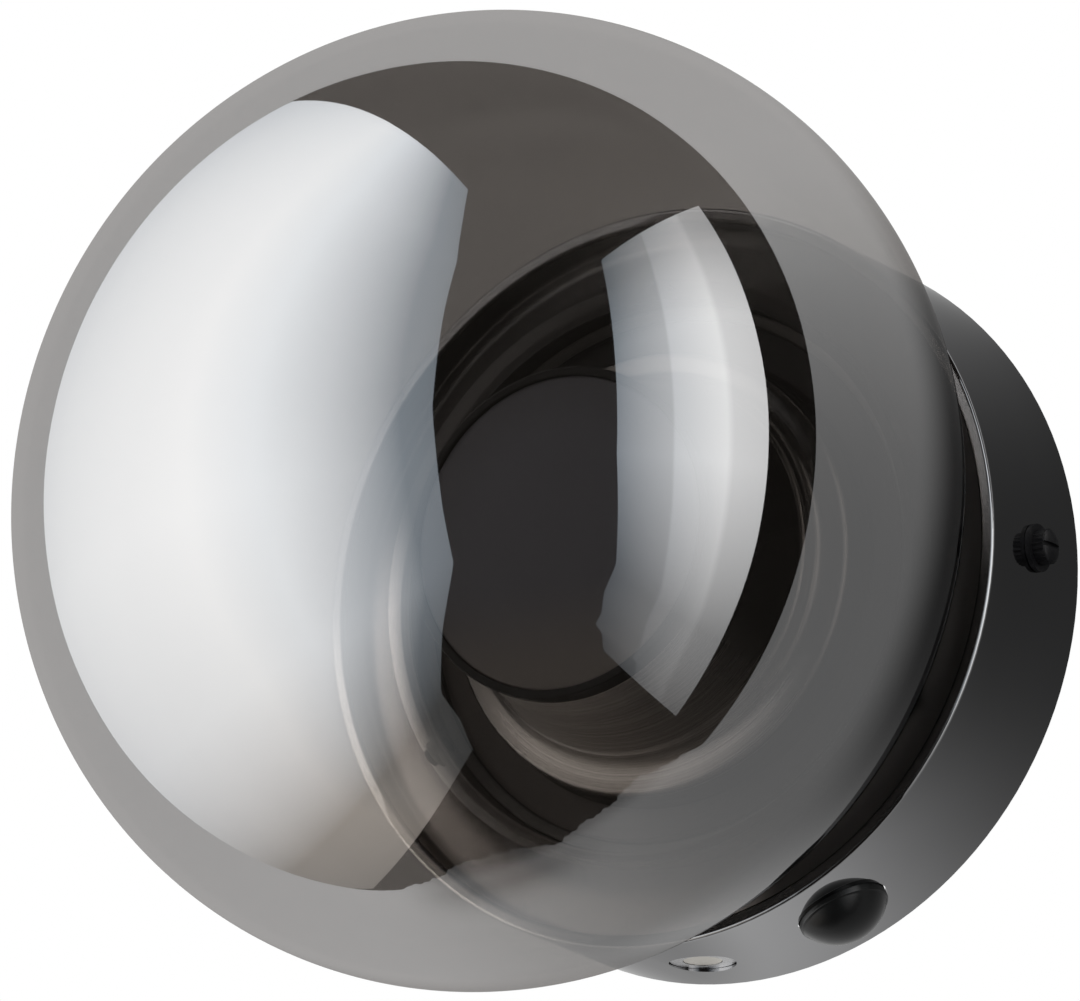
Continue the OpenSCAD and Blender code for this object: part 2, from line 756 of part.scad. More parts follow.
// Driver
module led_driver() {
    low = floor_under - driver_h;
    ear_reach = driver_len / 2 + driver_ear_len;
    color("#dcdcd8") out_of_wall() difference() {
        union() {
            translate([-driver_len / 2, driver_y, low]) cube([driver_len, driver_w, driver_h]);
            translate([-ear_reach, stud_y - driver_ear_w / 2, floor_under - driver_ear_t])
                cube([2 * ear_reach, driver_ear_w, driver_ear_t]);
        }
        for (side = [-1, 1]) translate([side * stud_x, stud_y, floor_under - driver_ear_t - cut])
            cylinder(r = stud_hole_r, h = driver_ear_t + 2 * cut);
        for (side = [-1, 1]) translate([side * driver_len / 2, driver_y + driver_w / 2, low - cut])
            cylinder(r = driver_notch_r, h = cut + driver_notch_r);
    }
}

module driver_nuts() {
    color("#c9ccce") out_of_wall() for (side = [-1, 1])
        translate([side * stud_x, stud_y, floor_under - driver_ear_t - stud_nut_h])
            hex_nut(stud_nut_r, stud_r + thread_gap, stud_nut_h);
}

// Domed switch
module switch_cap() {
    dome_z = cap_top - cap_dome_r;
    inner_from = asin(cap_stem_r / cap_inner_dome_r);
    inner_to = asin(cap_inner_r / cap_inner_dome_r);
    outer_to = asin(cap_r / cap_dome_r);
    n = dome_step_count;
    color("#161617") out_of_wall() at_side(switch_angle) rotate_extrude() polygon(concat(
        [[0, cap_stem_low], [cap_stem_r, cap_stem_low]],
        arc(0, dome_z, cap_inner_dome_r, 90 - inner_from, 90 - inner_to, n),
        [[cap_inner_r, cap_low], [cap_r, cap_low]],
        arc(0, dome_z, cap_dome_r, 90 - outer_to, 90, n)
    ));
}

module switch_body() {
    rear = switch_body_top - switch_len;
    color("#303236") out_of_wall() at_side(switch_angle) difference() {
        union() {
            translate([-switch_side / 2, -switch_side / 2, rear])
                cube([switch_side, switch_side, switch_len]);
            translate([0, 0, switch_body_top - cut])
                cylinder(r = switch_neck_r, h = switch_neck_len + cut);
            for (side = [-1, 1]) translate([0, side * switch_lug_place, rear - switch_lug_len])
                translate([-switch_lug_w / 2, -switch_lug_t / 2, 0])
                    cube([switch_lug_w, switch_lug_t, switch_lug_len + cut]);
        }
        translate([0, 0, switch_neck_top - switch_bore_depth])
            cylinder(r = cap_stem_r + cap_stem_gap, h = switch_bore_depth + cut);
    }
}

module switch_nut() {
    color("#c9ccce") out_of_wall() at_side(switch_angle)
        translate([0, 0, switch_body_top + switch_plate_t])
            hex_nut(switch_nut_r, switch_neck_r + thread_gap, switch_nut_t);
}

module switch_spring() {
    pressed_inner = cap_top - cap_dome_r - cap_travel
        + sqrt(pow(cap_inner_dome_r, 2) - pow(switch_spring_r + switch_spring_wire_r, 2));
    color("#b9bdc0") out_of_wall() at_side(switch_angle)
        translate([0, 0, switch_neck_top + thread_gap])
            coil(switch_spring_r, switch_spring_wire_r, pressed_inner - switch_neck_top - gap,
                switch_spring_turn_count);
}

module switch_bracket() {
    foot_from = switch_body_top + switch_plate_t - switch_foot_len;
    color("#b9bdc0") out_of_wall() difference() {
        union() {
            rotate([0, 0, switch_angle])
                translate([switch_body_top, -switch_plate_w / 2, side_z - switch_plate_w / 2])
                    cube([switch_plate_t, switch_plate_w, floor_under - side_z + switch_plate_w / 2]);
            rotate([0, 0, switch_angle])
                translate([foot_from, -switch_plate_w / 2, floor_under - switch_plate_t])
                    cube([switch_foot_len, switch_plate_w, switch_plate_t]);
        }
        at_side(switch_angle) translate([0, 0, switch_body_top - cut])
            cylinder(r = switch_neck_r + button_gap, h = switch_plate_t + 2 * cut);
    }
}

// Small metal button
module mode_button() {
    color("#cfc8b8") out_of_wall() at_side(button_angle) {
        translate([0, 0, shoulder_low])
            cylinder(r = button_r, h = bezel_top - button_dip - shoulder_low);
        translate([0, 0, shoulder_low])
            cylinder(r = button_shoulder_r, h = button_shoulder_t);
        translate([0, 0, shoulder_low - button_stem_len])
            cylinder(r = button_stem_r, h = button_stem_len + cut);
    }
}

module mode_button_barrel() {
    color("#8b8d90") out_of_wall() at_side(button_angle) difference() {
        union() {
            translate([0, 0, barrel_low]) cylinder(r = barrel_r, h = barrel_len + bezel_t / 2);
            translate([0, 0, bezel_seat]) cylinder(r = bezel_r, h = bezel_t);
        }
        translate([0, 0, barrel_low - cut])
            cylinder(r = barrel_bore_r, h = bezel_top - barrel_lip - barrel_low + cut);
        translate([0, 0, barrel_low])
            cylinder(r = button_r + button_gap, h = barrel_len + bezel_t + cut);
    }
}

module mode_button_nut() {
    color("#c9ccce") out_of_wall() at_side(button_angle) translate([0, 0, pad_low - button_nut_t])
        hex_nut(button_nut_r, barrel_r + thread_gap, button_nut_t);
}

module mode_button_spring() {
    color("#b9bdc0") out_of_wall() at_side(button_angle) translate([0, 0, barrel_low + base_t + thread_gap])
        coil(button_spring_r, button_spring_wire_r, shoulder_low - barrel_low - base_t - 2 * thread_gap,
            button_spring_turn_count);
}

module mode_button_base() {
    color("#2b2b2d") out_of_wall() at_side(button_angle) {
        translate([0, 0, barrel_low]) cylinder(r = barrel_bore_r - thread_gap, h = base_t);
        for (side = [-1, 1]) translate([0, side * base_pin_place, barrel_low - base_pin_len])
            cylinder(r = base_pin_r, h = base_pin_len + cut);
    }
}

// Leads
// A lead's end that runs straight into the driver's face
function into_driver(x) =
    [[x, driver_y - lead_slack / 2, driver_port_z], [x, driver_y - seat_gap, driver_port_z]];

// A lead's end that runs straight out of the terminal block's inner face
function from_block(i) = [
    [block_x - block_w / 2 + terminal_screw_place - terminal_screw_r, pole_y(i), pole_z],
    [block_x - block_w / 2 - lead_slack / 2, pole_y(i), pole_z]
];

module earth_lead() {
    lug_mouth = lug_r + lug_t / 2 + lug_barrel_len;
    color("#6f9b2c") out_of_wall() lead(concat(from_block(2), [
        [slot_spacing / 2 - slot_len / 2, bar_w / 2, pole_z],
        [0, bar_w / 2 + lead_slack / 2, pole_z],
        [earth_x, bar_w / 2 + lead_slack, lug_z + lead_slack / 2],
        [earth_x, lug_mouth + lead_slack / 4, lug_z + lug_barrel_r],
        [earth_x, lug_r + 2 * lug_t, lug_z + lug_barrel_r]
    ]), mains_lead_r);
}

module live_leads() {
    color("#7a4a2a") out_of_wall() {
        lead(concat(from_block(0), [
            [slot_spacing / 2, -bar_w / 2, side_z / 2],
            side_place(switch_angle, switch_rear - 2 * lead_slack, switch_lug_place + lead_slack, side_z),
            side_place(switch_angle, switch_rear - lead_slack / 2, switch_lug_place, side_z),
            side_place(switch_angle, switch_rear, switch_lug_place, side_z)
        ]), mains_lead_r);
        lead(concat([
            side_place(switch_angle, switch_rear, -switch_lug_place, side_z),
            side_place(switch_angle, switch_rear - lead_slack / 2, -switch_lug_place, side_z),
            [0, -bar_w / 2 - lead_slack, side_z - lead_slack / 2],
            [earth_x + lead_slack / 2, -lead_slack, side_z - lead_slack / 2],
            [live_port_x - lead_slack / 4, lead_slack, side_z - lead_slack / 2]
        ], into_driver(live_port_x)), mains_lead_r);
    }
}

module neutral_lead() {
    color("#3b6ea5") out_of_wall() lead(concat(from_block(1), [
        [slot_spacing / 2 - slot_len / 2, lead_slack / 4, side_z - lead_slack / 2],
        [0, bar_w / 2 - lead_slack / 4, side_z - lead_slack / 2]
    ], into_driver(neutral_port_x)), mains_lead_r);
}

// An LED lead runs from its pad, down the threaded tube and out to the driver
module led_lead(side, port_x) {
    pad_z = sink_top_z + board_t + thin_lead_r;
    lane = 2 * thin_lead_r;
    lead(concat([
        [side * (board_hole_r + 2 * thin_lead_r), 0, pad_z],
        [side * 2 * lane, 0, pad_z],
        [side * lane, 0, sink_top_z],
        [side * lane, 0, ledge_z - sink_t],
        [side * lane, 0, tube_low_z + lead_slack],
        [side * lane, 0, tube_low_z],
        [side * lane + port_x / 4, lead_slack, driver_port_z - lead_slack / 2]
    ], into_driver(port_x)), thin_lead_r);
}

module led_lead_red() {
    color("#a5302a") out_of_wall() led_lead(1, led_port_x + led_port_pitch);
}

module led_lead_black() {
    color("#1c1c1c") out_of_wall() led_lead(-1, led_port_x);
}

module button_leads() {
    low = barrel_low - base_pin_len - seat_gap;
    color("#d9d4c6") out_of_wall() for (side = [-1, 1]) lead(concat([
        side_place(button_angle, low, side * base_pin_place, side_z),
        side_place(button_angle, low - lead_slack / 2, side * base_pin_place, side_z),
        [button_port_x - 2 * side * base_pin_place, -driver_y, driver_port_z],
        [button_port_x - 2 * lead_slack - 2 * side * base_pin_place, 0, driver_port_z]
    ], into_driver(button_port_x - side * button_port_pitch / 2)), thin_lead_r);
}

wall_bracket();
cable_bush();
earth_screw();
earth_washer();
earth_lug();
terminal_block();
terminal_screws();
terminal_fixing_screw();
canopy_shell();
side_screws();
side_washers();
glass_globe();
holder_ring();
holder_screws();
globe_gasket();
grub_screws();
lamp_hub();
heat_sink();
led_board();
led_chips();
board_screws();
diffuser();
diffuser_ring();
lamp_tube();
lamp_tube_nut();
lock_washer();
led_driver();
driver_nuts();
switch_cap();
switch_body();
switch_nut();
switch_spring();
switch_bracket();
mode_button();
mode_button_barrel();
mode_button_nut();
mode_button_spring();
mode_button_base();
earth_lead();
live_leads();
neutral_lead();
led_lead_red();
led_lead_black();
button_leads();
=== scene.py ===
# %% [markdown]
# # A wall light with a smoked glass globe
# The real light is a blown globe with a thin mirror coat, held by its neck in a ring on a round, polished
# canopy. Under the glass stands a bell-shaped hub with a pale disc that spreads the light.
# The packed model is loaded first and stays as it is: every piece made here sits in its frame, in metres.

# %% Load the packed model and keep its record
import json
import math

import bpy
from mathutils import Matrix, Vector


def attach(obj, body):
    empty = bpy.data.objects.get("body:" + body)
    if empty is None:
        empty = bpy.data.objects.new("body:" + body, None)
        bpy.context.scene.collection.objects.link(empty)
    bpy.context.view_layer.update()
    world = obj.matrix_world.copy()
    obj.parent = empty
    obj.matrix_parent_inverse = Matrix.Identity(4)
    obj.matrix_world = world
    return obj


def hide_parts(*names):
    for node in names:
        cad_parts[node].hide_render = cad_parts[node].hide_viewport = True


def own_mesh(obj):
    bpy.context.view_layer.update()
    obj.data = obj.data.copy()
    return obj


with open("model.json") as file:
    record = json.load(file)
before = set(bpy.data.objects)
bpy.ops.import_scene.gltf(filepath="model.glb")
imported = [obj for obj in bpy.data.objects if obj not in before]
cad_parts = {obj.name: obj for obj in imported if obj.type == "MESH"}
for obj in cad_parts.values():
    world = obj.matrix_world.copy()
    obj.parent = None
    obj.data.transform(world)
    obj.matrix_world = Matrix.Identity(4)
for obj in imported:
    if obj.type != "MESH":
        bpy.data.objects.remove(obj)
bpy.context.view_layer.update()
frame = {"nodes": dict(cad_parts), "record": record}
nodes = frame["nodes"]
MM = 0.001

# %% [markdown]
# ## The camera
# The light is seen from its right and from a little below, from far away, so that its circles keep their
# shape. The two angles and the point in the middle of the image were fitted to the ellipses of the globe
# and of the canopy's two edges. A long lens does the rest, so the camera needs no shift.

# %% Camera
AZIMUTH, ELEVATION, DISTANCE = math.radians(29.8), math.radians(-14.9), 3.1
LENS, SENSOR = 511, 36
LOOK_AT = Vector((0.0094, -0.1023, -0.0001))

camera = bpy.data.objects.new("camera", bpy.data.cameras.new("camera"))
bpy.context.scene.collection.objects.link(camera)
back = Vector((
    math.sin(AZIMUTH) * math.cos(ELEVATION),
    -math.cos(AZIMUTH) * math.cos(ELEVATION),
    math.sin(ELEVATION),
))
camera.location = LOOK_AT + DISTANCE * back
camera.rotation_mode = "QUATERNION"
camera.rotation_quaternion = (-back).to_track_quat("-Z", "Y")
camera.data.sensor_fit = "HORIZONTAL"
camera.data.sensor_width = SENSOR
camera.data.lens = LENS
camera.data.clip_end = 30
bpy.context.scene.camera = camera
bpy.context.scene.view_settings.view_transform = "Standard"
print("camera at", [round(v, 3) for v in camera.location])

# %% [markdown]
# ## Node values that add and multiply like numbers
# A finish is a small sum: a base, plus a little noise, times a mask. Written out as nodes it takes a page,
# so one class wraps a socket and turns Python's operators into Math nodes. Then a sum of nodes can be
# written and read like a sum of numbers.

# %% Socket maths
class Value:
    """A socket of one material's nodes that takes part in sums."""

    def __init__(self, finish, socket):
        self.finish = finish
        self.socket = socket

    def _with(self, operation, a, b=0.5, c=0.5):
        return self.finish.add("Math", {"operation": operation}, {0: a, 1: b, 2: c})

    def __add__(self, other):
        return self._with("ADD", self, other)

    def __radd__(self, other):
        return self._with("ADD", other, self)

    def __sub__(self, other):
        return self._with("SUBTRACT", self, other)

    def __rsub__(self, other):
        return self._with("SUBTRACT", other, self)

    def __mul__(self, other):
        return self._with("MULTIPLY", self, other)

    def __rmul__(self, other):
        return self._with("MULTIPLY", other, self)

    def __truediv__(self, other):
        return self._with("DIVIDE", self, other)

    def __pow__(self, other):
        return self._with("POWER", self, other)

    def wave(self):
        return self._with("SINE", self)

    def between(self, low, high):
        """0 below low, 1 above high, and smooth in between."""
        settings = {"interpolation_type": "SMOOTHSTEP"}
        return self.finish.add("MapRange", settings, {0: self, 1: low, 2: high, 3: 0.0, 4: 1.0})


print("a number may stand first in:", sorted(name for name in vars(Value) if name.startswith("__r")))

# %% [markdown]
# ## A maker of finishes
# `Finish` holds one material. It adds any node from its type, its settings and its inputs, and it has short
# names for the nodes that come up again. Colours go through Mix, because a Math node turns them grey.

# %% A maker of finishes
class Finish:
    """One material and its nodes. Places on it are read in the frame's own metres."""

    def __init__(self, name):
        self.material = bpy.data.materials.new(name)
        self.material.use_nodes = True
        self.tree = self.material.node_tree
        self.tree.nodes.clear()

    def add(self, kind, settings=None, inputs=None, out=0):
        node = self.tree.nodes.new("ShaderNode" + kind)
        for key, value in (settings or {}).items():
            if key == "stops":
                self._set_stops(node.color_ramp, value)
            else:
                setattr(node, key, value)
        for key, value in (inputs or {}).items():
            if isinstance(value, Value):
                self.tree.links.new(value.socket, node.inputs[key])
            else:
                node.inputs[key].default_value = value
        return Value(self, node.outputs[out])

    def _set_stops(self, ramp, stops):
        while len(ramp.elements) < len(stops):
            ramp.elements.new(1.0)
        for element, (place, colour) in zip(ramp.elements, stops):
            element.position = place
            element.color = colour

    def place(self):
        """Where a point of the surface is, in the frame: x, y and z as three values."""
        here = self.add("TexCoord", out="Object")
        split = self.add("SeparateXYZ", inputs={0: here})
        return here, [Value(self, split.socket.node.outputs[i]) for i in range(3)]

    def noise(self, scale, detail=3.0, roughness=0.55, at=None):
        at = at or self.add("TexCoord", out="Object")
        inputs = {"Vector": at, "Scale": scale, "Detail": detail, "Roughness": roughness}
        return self.add("TexNoise", inputs=inputs)

    def blend(self, share, first, second):
        """A colour between two colours."""
        settings = {"data_type": "RGBA", "clamp_factor": True}
        return self.add("Mix", settings, {0: share, 6: first, 7: second}, out=2)

    def stretch(self, at, along):
        """A place measured in other units along x, y and z."""
        return self.add("VectorMath", {"operation": "MULTIPLY"}, {0: at, 1: along})

    def relief(self, height, strength, depth=0.001):
        return self.add("Bump", inputs={"Height": height, "Strength": strength, "Distance": depth})

    def surface(self, **inputs):
        names = {key.replace("_", " ").title().replace("Ior", "IOR"): value for key, value in inputs.items()}
        return self.add("BsdfPrincipled", inputs=names)

    def out(self, shader):
        end = self.tree.nodes.new("ShaderNodeOutputMaterial")
        self.tree.links.new(shader.socket, end.inputs["Surface"])
        return self.material


def rgb(r, g, b):
    return (r, g, b, 1.0)


print("finish tools ready")

# %% [markdown]
# ## Places and pieces
# Every piece is drawn in millimetres, as on a workshop drawing, and kept in metres. One helper makes the
# mesh, gives it its finishes, lets it ride on a body and hides the packed solids that it stands for. Two
# matrices say where a drawing's upright points: out of the wall, or out of the canopy's side at an angle.

# %% Places and pieces
OUT_OF_WALL = Matrix(((1, 0, 0, 0), (0, 0, -1, 0), (0, 1, 0, 0), (0, 0, 0, 1)))
SIDE_OUT = 18.5


def at_side(angle, out=SIDE_OUT):
    """The place on the canopy's side at an angle: z points away from the light's axis, x into the wall."""
    c, s = math.cos(math.radians(angle)), math.sin(math.radians(angle))
    return Matrix(((0, -s, c, 0), (1, 0, 0, -out), (0, c, s, 0), (0, 0, 0, 1)))


def add_piece(name, points, faces, finishes, body, kinds=None, replaces=(), sharp=35):
    """Makes a mesh from points in millimetres of the frame, gives it its finishes, lets it ride on a body and
    hides what it replaces.
    """
    mesh = bpy.data.meshes.new(name)
    mesh.from_pydata([tuple(MM * v for v in p) for p in points], [], faces)
    piece = bpy.data.objects.new(name, mesh)
    bpy.context.scene.collection.objects.link(piece)
    for finish in finishes:
        mesh.materials.append(finish)
    if kinds:
        mesh.polygons.foreach_set("material_index", kinds)
    mesh.shade_smooth()
    mesh.set_sharp_from_angle(angle=math.radians(sharp))
    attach(piece, body)
    if replaces:
        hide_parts(*replaces)
    return piece


print("a drawing's upright points along", tuple(OUT_OF_WALL @ Vector((0, 0, 1))))

# %% [markdown]
# ## Turning pieces
# The globe is blown, and the hub, disc, ring and dome are round too, so each is one outline spun about an
# axis. A spun outline gives even faces for clean reflections, which a boolean or a subdivided cylinder
# doesn't.

# %% Lathe helper
def spin(outline, steps=240, place=OUT_OF_WALL, closed=True):
    """Spins an outline of (radius, height): points, faces and, for each face, its part of the outline."""
    points, rings, faces, parts = [], [], [], []
    for radius, height in outline:
        start = len(points)
        turns = steps if radius > 1e-6 else 1
        for k in range(turns):
            a = math.tau * k / steps
            points.append(place @ Vector((radius * math.cos(a), radius * math.sin(a), height)))
        rings.append([start + k % turns for k in range(steps)])
    pairs = list(zip(rings, rings[1:] + (rings[:1] if closed else [])))
    for part, (low, high) in enumerate(pairs if closed else pairs[:len(rings) - 1]):
        for k in range(steps):
            ring = [low[k], low[(k + 1) % steps], high[(k + 1) % steps], high[k]]
            face = list(dict.fromkeys(ring))
            if len(face) > 2:
                faces.append(face)
                parts.append(part)
    return points, faces, parts


def bend(x, y, radius, start, end, steps=8):
    """Points of an arc, angles in degrees."""
    turn = [math.radians(start + (end - start) * k / steps) for k in range(steps + 1)]
    return [(x + radius * math.cos(a), y + radius * math.sin(a)) for a in turn]


def turned(name, outline, finish, body, replaces=(), steps=240, place=OUT_OF_WALL, closed=True):
    points, faces, _ = spin(outline, steps, place, closed)
    piece = add_piece(name, points, faces, [finish], body, replaces=replaces)
    print(name, len(faces), "faces")
    return piece


print("a quarter bend has", len(bend(0, 0, 1, 0, 90)), "points")

# %% [markdown]
# ## The smoked, mirror-coated glass
# From the front the globe mirrors the studio, and yet the hub shows through it. The real coat is a very thin
# metal film on smoked glass: it throws back about a quarter of the light, lets a third of it through and
# swallows the rest. Refraction isn't needed, because the wall is thin and even. So the outer skin mixes a
# tinted see-through shader with a mirror, and the inner skin is almost clear. From inside, the coat is made
# to mirror less than a real film would, to match how clearly the photograph shows what lies behind. The bump
# is the slow waviness of blown glass, which frays the straight edges that it mirrors.

# %% Glass finishes
MIRRORED_SHARE, LESS_FROM_INSIDE = 0.26, 0.18
SMOKE = (0.363, 0.346, 0.334)
CLEAR = (0.945, 0.945, 0.94)


def coated_glass():
    f = Finish("smoked_glass_outside")
    here, _ = f.place()
    wave = f.relief(f.noise(16, 1.5, 0.4, at=here), 0.05, 0.004)
    coat = f.blend(f.noise(5, 2, at=here), rgb(0.95, 0.96, 0.975), rgb(0.99, 0.985, 0.98))
    rough = 0.012 + 0.012 * f.noise(30, 4, at=here)
    mirror = f.surface(base_color=coat, metallic=1.0, roughness=rough, normal=wave)
    clear = f.add("BsdfTransparent", inputs={"Color": rgb(*SMOKE)})
    rim = f.add("LayerWeight", inputs={"Blend": 0.12}, out=1)
    from_inside = f.add("NewGeometry", out="Backfacing")
    share = MIRRORED_SHARE - 0.012 + 0.016 * f.noise(9, 2, at=here) + 0.01 * rim ** 4
    share = share - LESS_FROM_INSIDE * from_inside
    return f.out(f.add("MixShader", inputs={0: share, 1: clear, 2: mirror}))


def smoked_glass():
    f = Finish("smoked_glass_inside")
    here, _ = f.place()
    rough = 0.02 + 0.02 * f.noise(30, 3, at=here)
    gloss = f.surface(base_color=rgb(0.9, 0.9, 0.9), metallic=1.0, roughness=rough)
    clear = f.add("BsdfTransparent", inputs={"Color": rgb(*CLEAR)})
    rim = f.add("LayerWeight", inputs={"Blend": 0.2}, out=0)
    share = 0.012 + 0.006 * f.noise(9, 2, at=here) + 0.04 * rim ** 3
    return f.out(f.add("MixShader", inputs={0: share, 1: clear, 2: gloss}))


def ground_edge():
    f = Finish("smoked_glass_edge")
    here, _ = f.place()
    grain = f.noise(900, 3, at=here)
    tone = f.blend(grain, rgb(0.13, 0.125, 0.12), rgb(0.2, 0.19, 0.18))
    return f.out(f.surface(base_color=tone, roughness=0.32 + 0.2 * grain,
                           normal=f.relief(grain, 0.2, 0.0003)))


def masked_neck():
    """The neck was masked while the globe was coated, so it stays almost clear."""
    f = Finish("clear_neck")
    here, _ = f.place()
    rough = 0.03 + 0.03 * f.noise(40, 3, at=here)
    gloss = f.surface(base_color=rgb(0.9, 0.9, 0.9), metallic=1.0, roughness=rough)
    clear = f.add("BsdfTransparent", inputs={"Color": rgb(0.84, 0.83, 0.82)})
    return f.out(f.add("MixShader", inputs={0: 0.03 + 0.02 * f.noise(20, 2, at=here), 1: clear, 2: gloss}))


outer_glass, inner_glass = coated_glass(), smoked_glass()
edge_glass, neck_glass = ground_edge(), masked_neck()
print("glass:", outer_glass.name, inner_glass.name, edge_glass.name, neck_glass.name)

# %% [markdown]
# ## The globe
# The glass is 200 mm across and 170 mm deep, with a short straight neck that stands in the holder. The two
# skins are two ellipses, joined to the neck by a soft bend, and the neck's end is ground flat with its
# corners broken. A spun outline with 320 steps keeps the mirrored edges smooth.

# %% Blown globe
GLOBE_R, GLOBE_HALF, WALL, NECK_R, NECK_OUT, COAT_ENDS = 100.0, 85.0, 2.6, 58.0, 33.4, 40.5
GLOBE_OUT = NECK_OUT + 5 + GLOBE_HALF * math.sin(math.acos(NECK_R / GLOBE_R))


def skin(inset, steps):
    """One skin of the globe from the neck to the front pole."""
    r, half, neck = GLOBE_R - inset, GLOBE_HALF - inset, NECK_R - inset
    start = -math.degrees(math.acos(neck / r))
    arc = [
        (r * math.cos(math.radians(a)), GLOBE_OUT + half * math.sin(math.radians(a)))
        for a in [start + (90 - start) * k / steps for k in range(steps + 1)]
    ]
    arc[-1] = (0.0, arc[-1][1])
    corner = arc[0]
    first, last = (neck, corner[1] - 2.2), arc[3]
    soft = [
        tuple((1 - t) ** 2 * p + 2 * t * (1 - t) * q + t * t * s for p, q, s in zip(first, corner, last))
        for t in [k / 8 for k in range(9)]
    ]
    return soft + arc[4:]


def blown_globe():
    outside, inside = skin(0.0, 150), skin(WALL, 150)
    rim = bend(NECK_R - 0.5, NECK_OUT + 0.5, 0.5, -90, 0, 4)
    rim_inside = bend(NECK_R - WALL + 0.5, NECK_OUT + 0.5, 0.5, 180, 270, 4)
    outline = rim + outside + inside[::-1] + rim_inside
    points, faces, parts = spin(outline, 320)
    outside_ends = len(rim) + len(outside) - 1
    inside_ends = len(rim) + len(outside) + len(inside)
    kinds = [0 if 3 < p < outside_ends else 1 if outside_ends < p < inside_ends else 2 for p in parts]
    kinds = [3 if kind == 0 and outline[p][1] < COAT_ENDS else kind for kind, p in zip(kinds, parts)]
    finishes = [outer_glass, inner_glass, edge_glass, neck_glass]
    return add_piece("globe_glass", points, faces, finishes, "globe", kinds,
                     ["glass_globe"], 50)


globe = blown_globe()
print("globe:", len(globe.data.polygons), "faces, front at", round(GLOBE_OUT + GLOBE_HALF, 2), "mm")

# %% [markdown]
# ## Polished plate
# The canopy is steel with polished black nickel: a dark mirror. What makes it look real is small: a faint
# haze that changes slowly, fine marks from wiping, and a slight waviness of the pressed sheet. The recess,
# its wall and the rim also get painted tones by their place: painted shade makes the recess nearly black and
# darkens a line on the rim's lower right, and painted reflections make the recess floor's lower left, the
# wall's upper left and the rim's lower left pale. The plate itself has none of these: they stand for
# reflections and shade of the room around the real light, which this plain studio doesn't give.

# %% Polished plate
def polished_plate():
    f = Finish("polished_plate")
    tone = (0.37, 0.37, 0.375)
    here, (x, y, z) = f.place()
    haze = f.noise(14, 3, at=here).between(0.35, 0.75)
    wiped = f.noise(60, 5, 0.65, at=f.stretch(here, (6.0, 30.0, 6.0)))
    away = (x * x + z * z) ** 0.5
    in_recess = (1 - away.between(0.0752, 0.0764)) * y.between(-0.0368, -0.0362)
    low = ((x * 0.5 - z * 0.85) / away).between(0.3, 0.65)
    # Painted shade: a dark line on the lower right of the rim's face.
    painted_rim_shade = low * away.between(0.075, 0.0756) * (1 - away.between(0.0776, 0.078))
    painted_rim_shade = painted_rim_shade * (1 - y.between(-0.0362, -0.0356))
    side = f.blend(haze, rgb(*tone), rgb(*[v * 0.93 for v in tone]))
    lower_left = ((0 - x * 0.7 - z * 0.7) / away).between(0.4, 0.85)
    # Painted reflection: the recess wall is pale towards its upper left.
    wall = ((z - x) * 0.707 / away).between(0.3, 0.75) * away.between(0.0712, 0.0724)
    lower_left = lower_left * (0.18 + 0.82 * away.between(0.0635, 0.0685))
    # Painted shade and painted reflection: the recess is nearly black, and pale towards its lower left.
    recess_shade_and_reflection = f.blend(lower_left, rgb(0.04, 0.038, 0.037), rgb(0.85, 0.79, 0.75))
    # Painted highlight: a pale line on the lower left of the rim.
    painted_rim_highlight = ((0 - x * 0.8 - z * 0.6) / away).between(0.75, 0.95) * away.between(0.0758, 0.0764)
    painted_rim_highlight = painted_rim_highlight * (1 - y.between(-0.0366, -0.0362))
    side = f.blend(painted_rim_highlight, f.blend(painted_rim_shade, side, rgb(0.03, 0.029, 0.028)), rgb(0.97, 0.95, 0.92))
    colour = f.blend(in_recess, side, f.blend(wall, recess_shade_and_reflection, rgb(0.4, 0.395, 0.39)))
    rough = 0.035 + 0.03 * haze + 0.035 * wiped.between(0.5, 0.8) + 0.25 * in_recess + 0.2 * painted_rim_shade
    sheet = f.relief(f.noise(20, 1, 0.3, at=here), 0.02, 0.002)
    return f.out(f.surface(base_color=colour, metallic=1.0, roughness=rough,
                           specular_tint=rgb(0.55, 0.55, 0.55), normal=sheet))


plate = polished_plate()
print("plate:", plate.name, len(plate.node_tree.nodes), "nodes")

# %% [markdown]
# ## Turned black metal
# The hub was turned, so its lines run round the axis. They come from a noise that is stretched over the
# distance from the axis and the depth, and so changes along the outline but not around it. The lower flank
# is made lighter and duller by its place, for what it mirrors in the photograph. The trim ring is gloss
# black.

# %% Turned metal and gloss ring
def turned_lines(f, fineness=2600):
    """A value that changes along a turned outline and not around it, and the distance from the axis."""
    here, (x, y, z) = f.place()
    from_axis = (x * x + z * z) ** 0.5
    along = f.add("CombineXYZ", inputs={0: from_axis * fineness, 1: y * fineness, 2: 0.0})
    return (x, y, z), from_axis, f.add("TexNoise", inputs={"Vector": along, "Scale": 1.0, "Detail": 4.0})


def turned_black():
    f = Finish("turned_black")
    (_, y, z), from_axis, lines = turned_lines(f)
    haze = f.noise(40, 3)
    lower = (0 - z / (from_axis + 0.0001)).between(0.4, 0.92) * (1 - y.between(-0.041, -0.037))
    dark = f.blend(lines.between(0.35, 0.7), rgb(0.2, 0.19, 0.18), rgb(0.27, 0.255, 0.245))
    light = f.blend(lines.between(0.35, 0.65), rgb(0.6, 0.57, 0.54), rgb(0.92, 0.88, 0.84))
    rough = 0.09 + 0.12 * lines.between(0.4, 0.75) + 0.05 * haze + 0.2 * lower
    return f.out(f.surface(base_color=f.blend(lower, dark, light), metallic=1.0, roughness=rough,
                           normal=f.relief(lines, 0.12 + 0.25 * lower, 0.0004)))


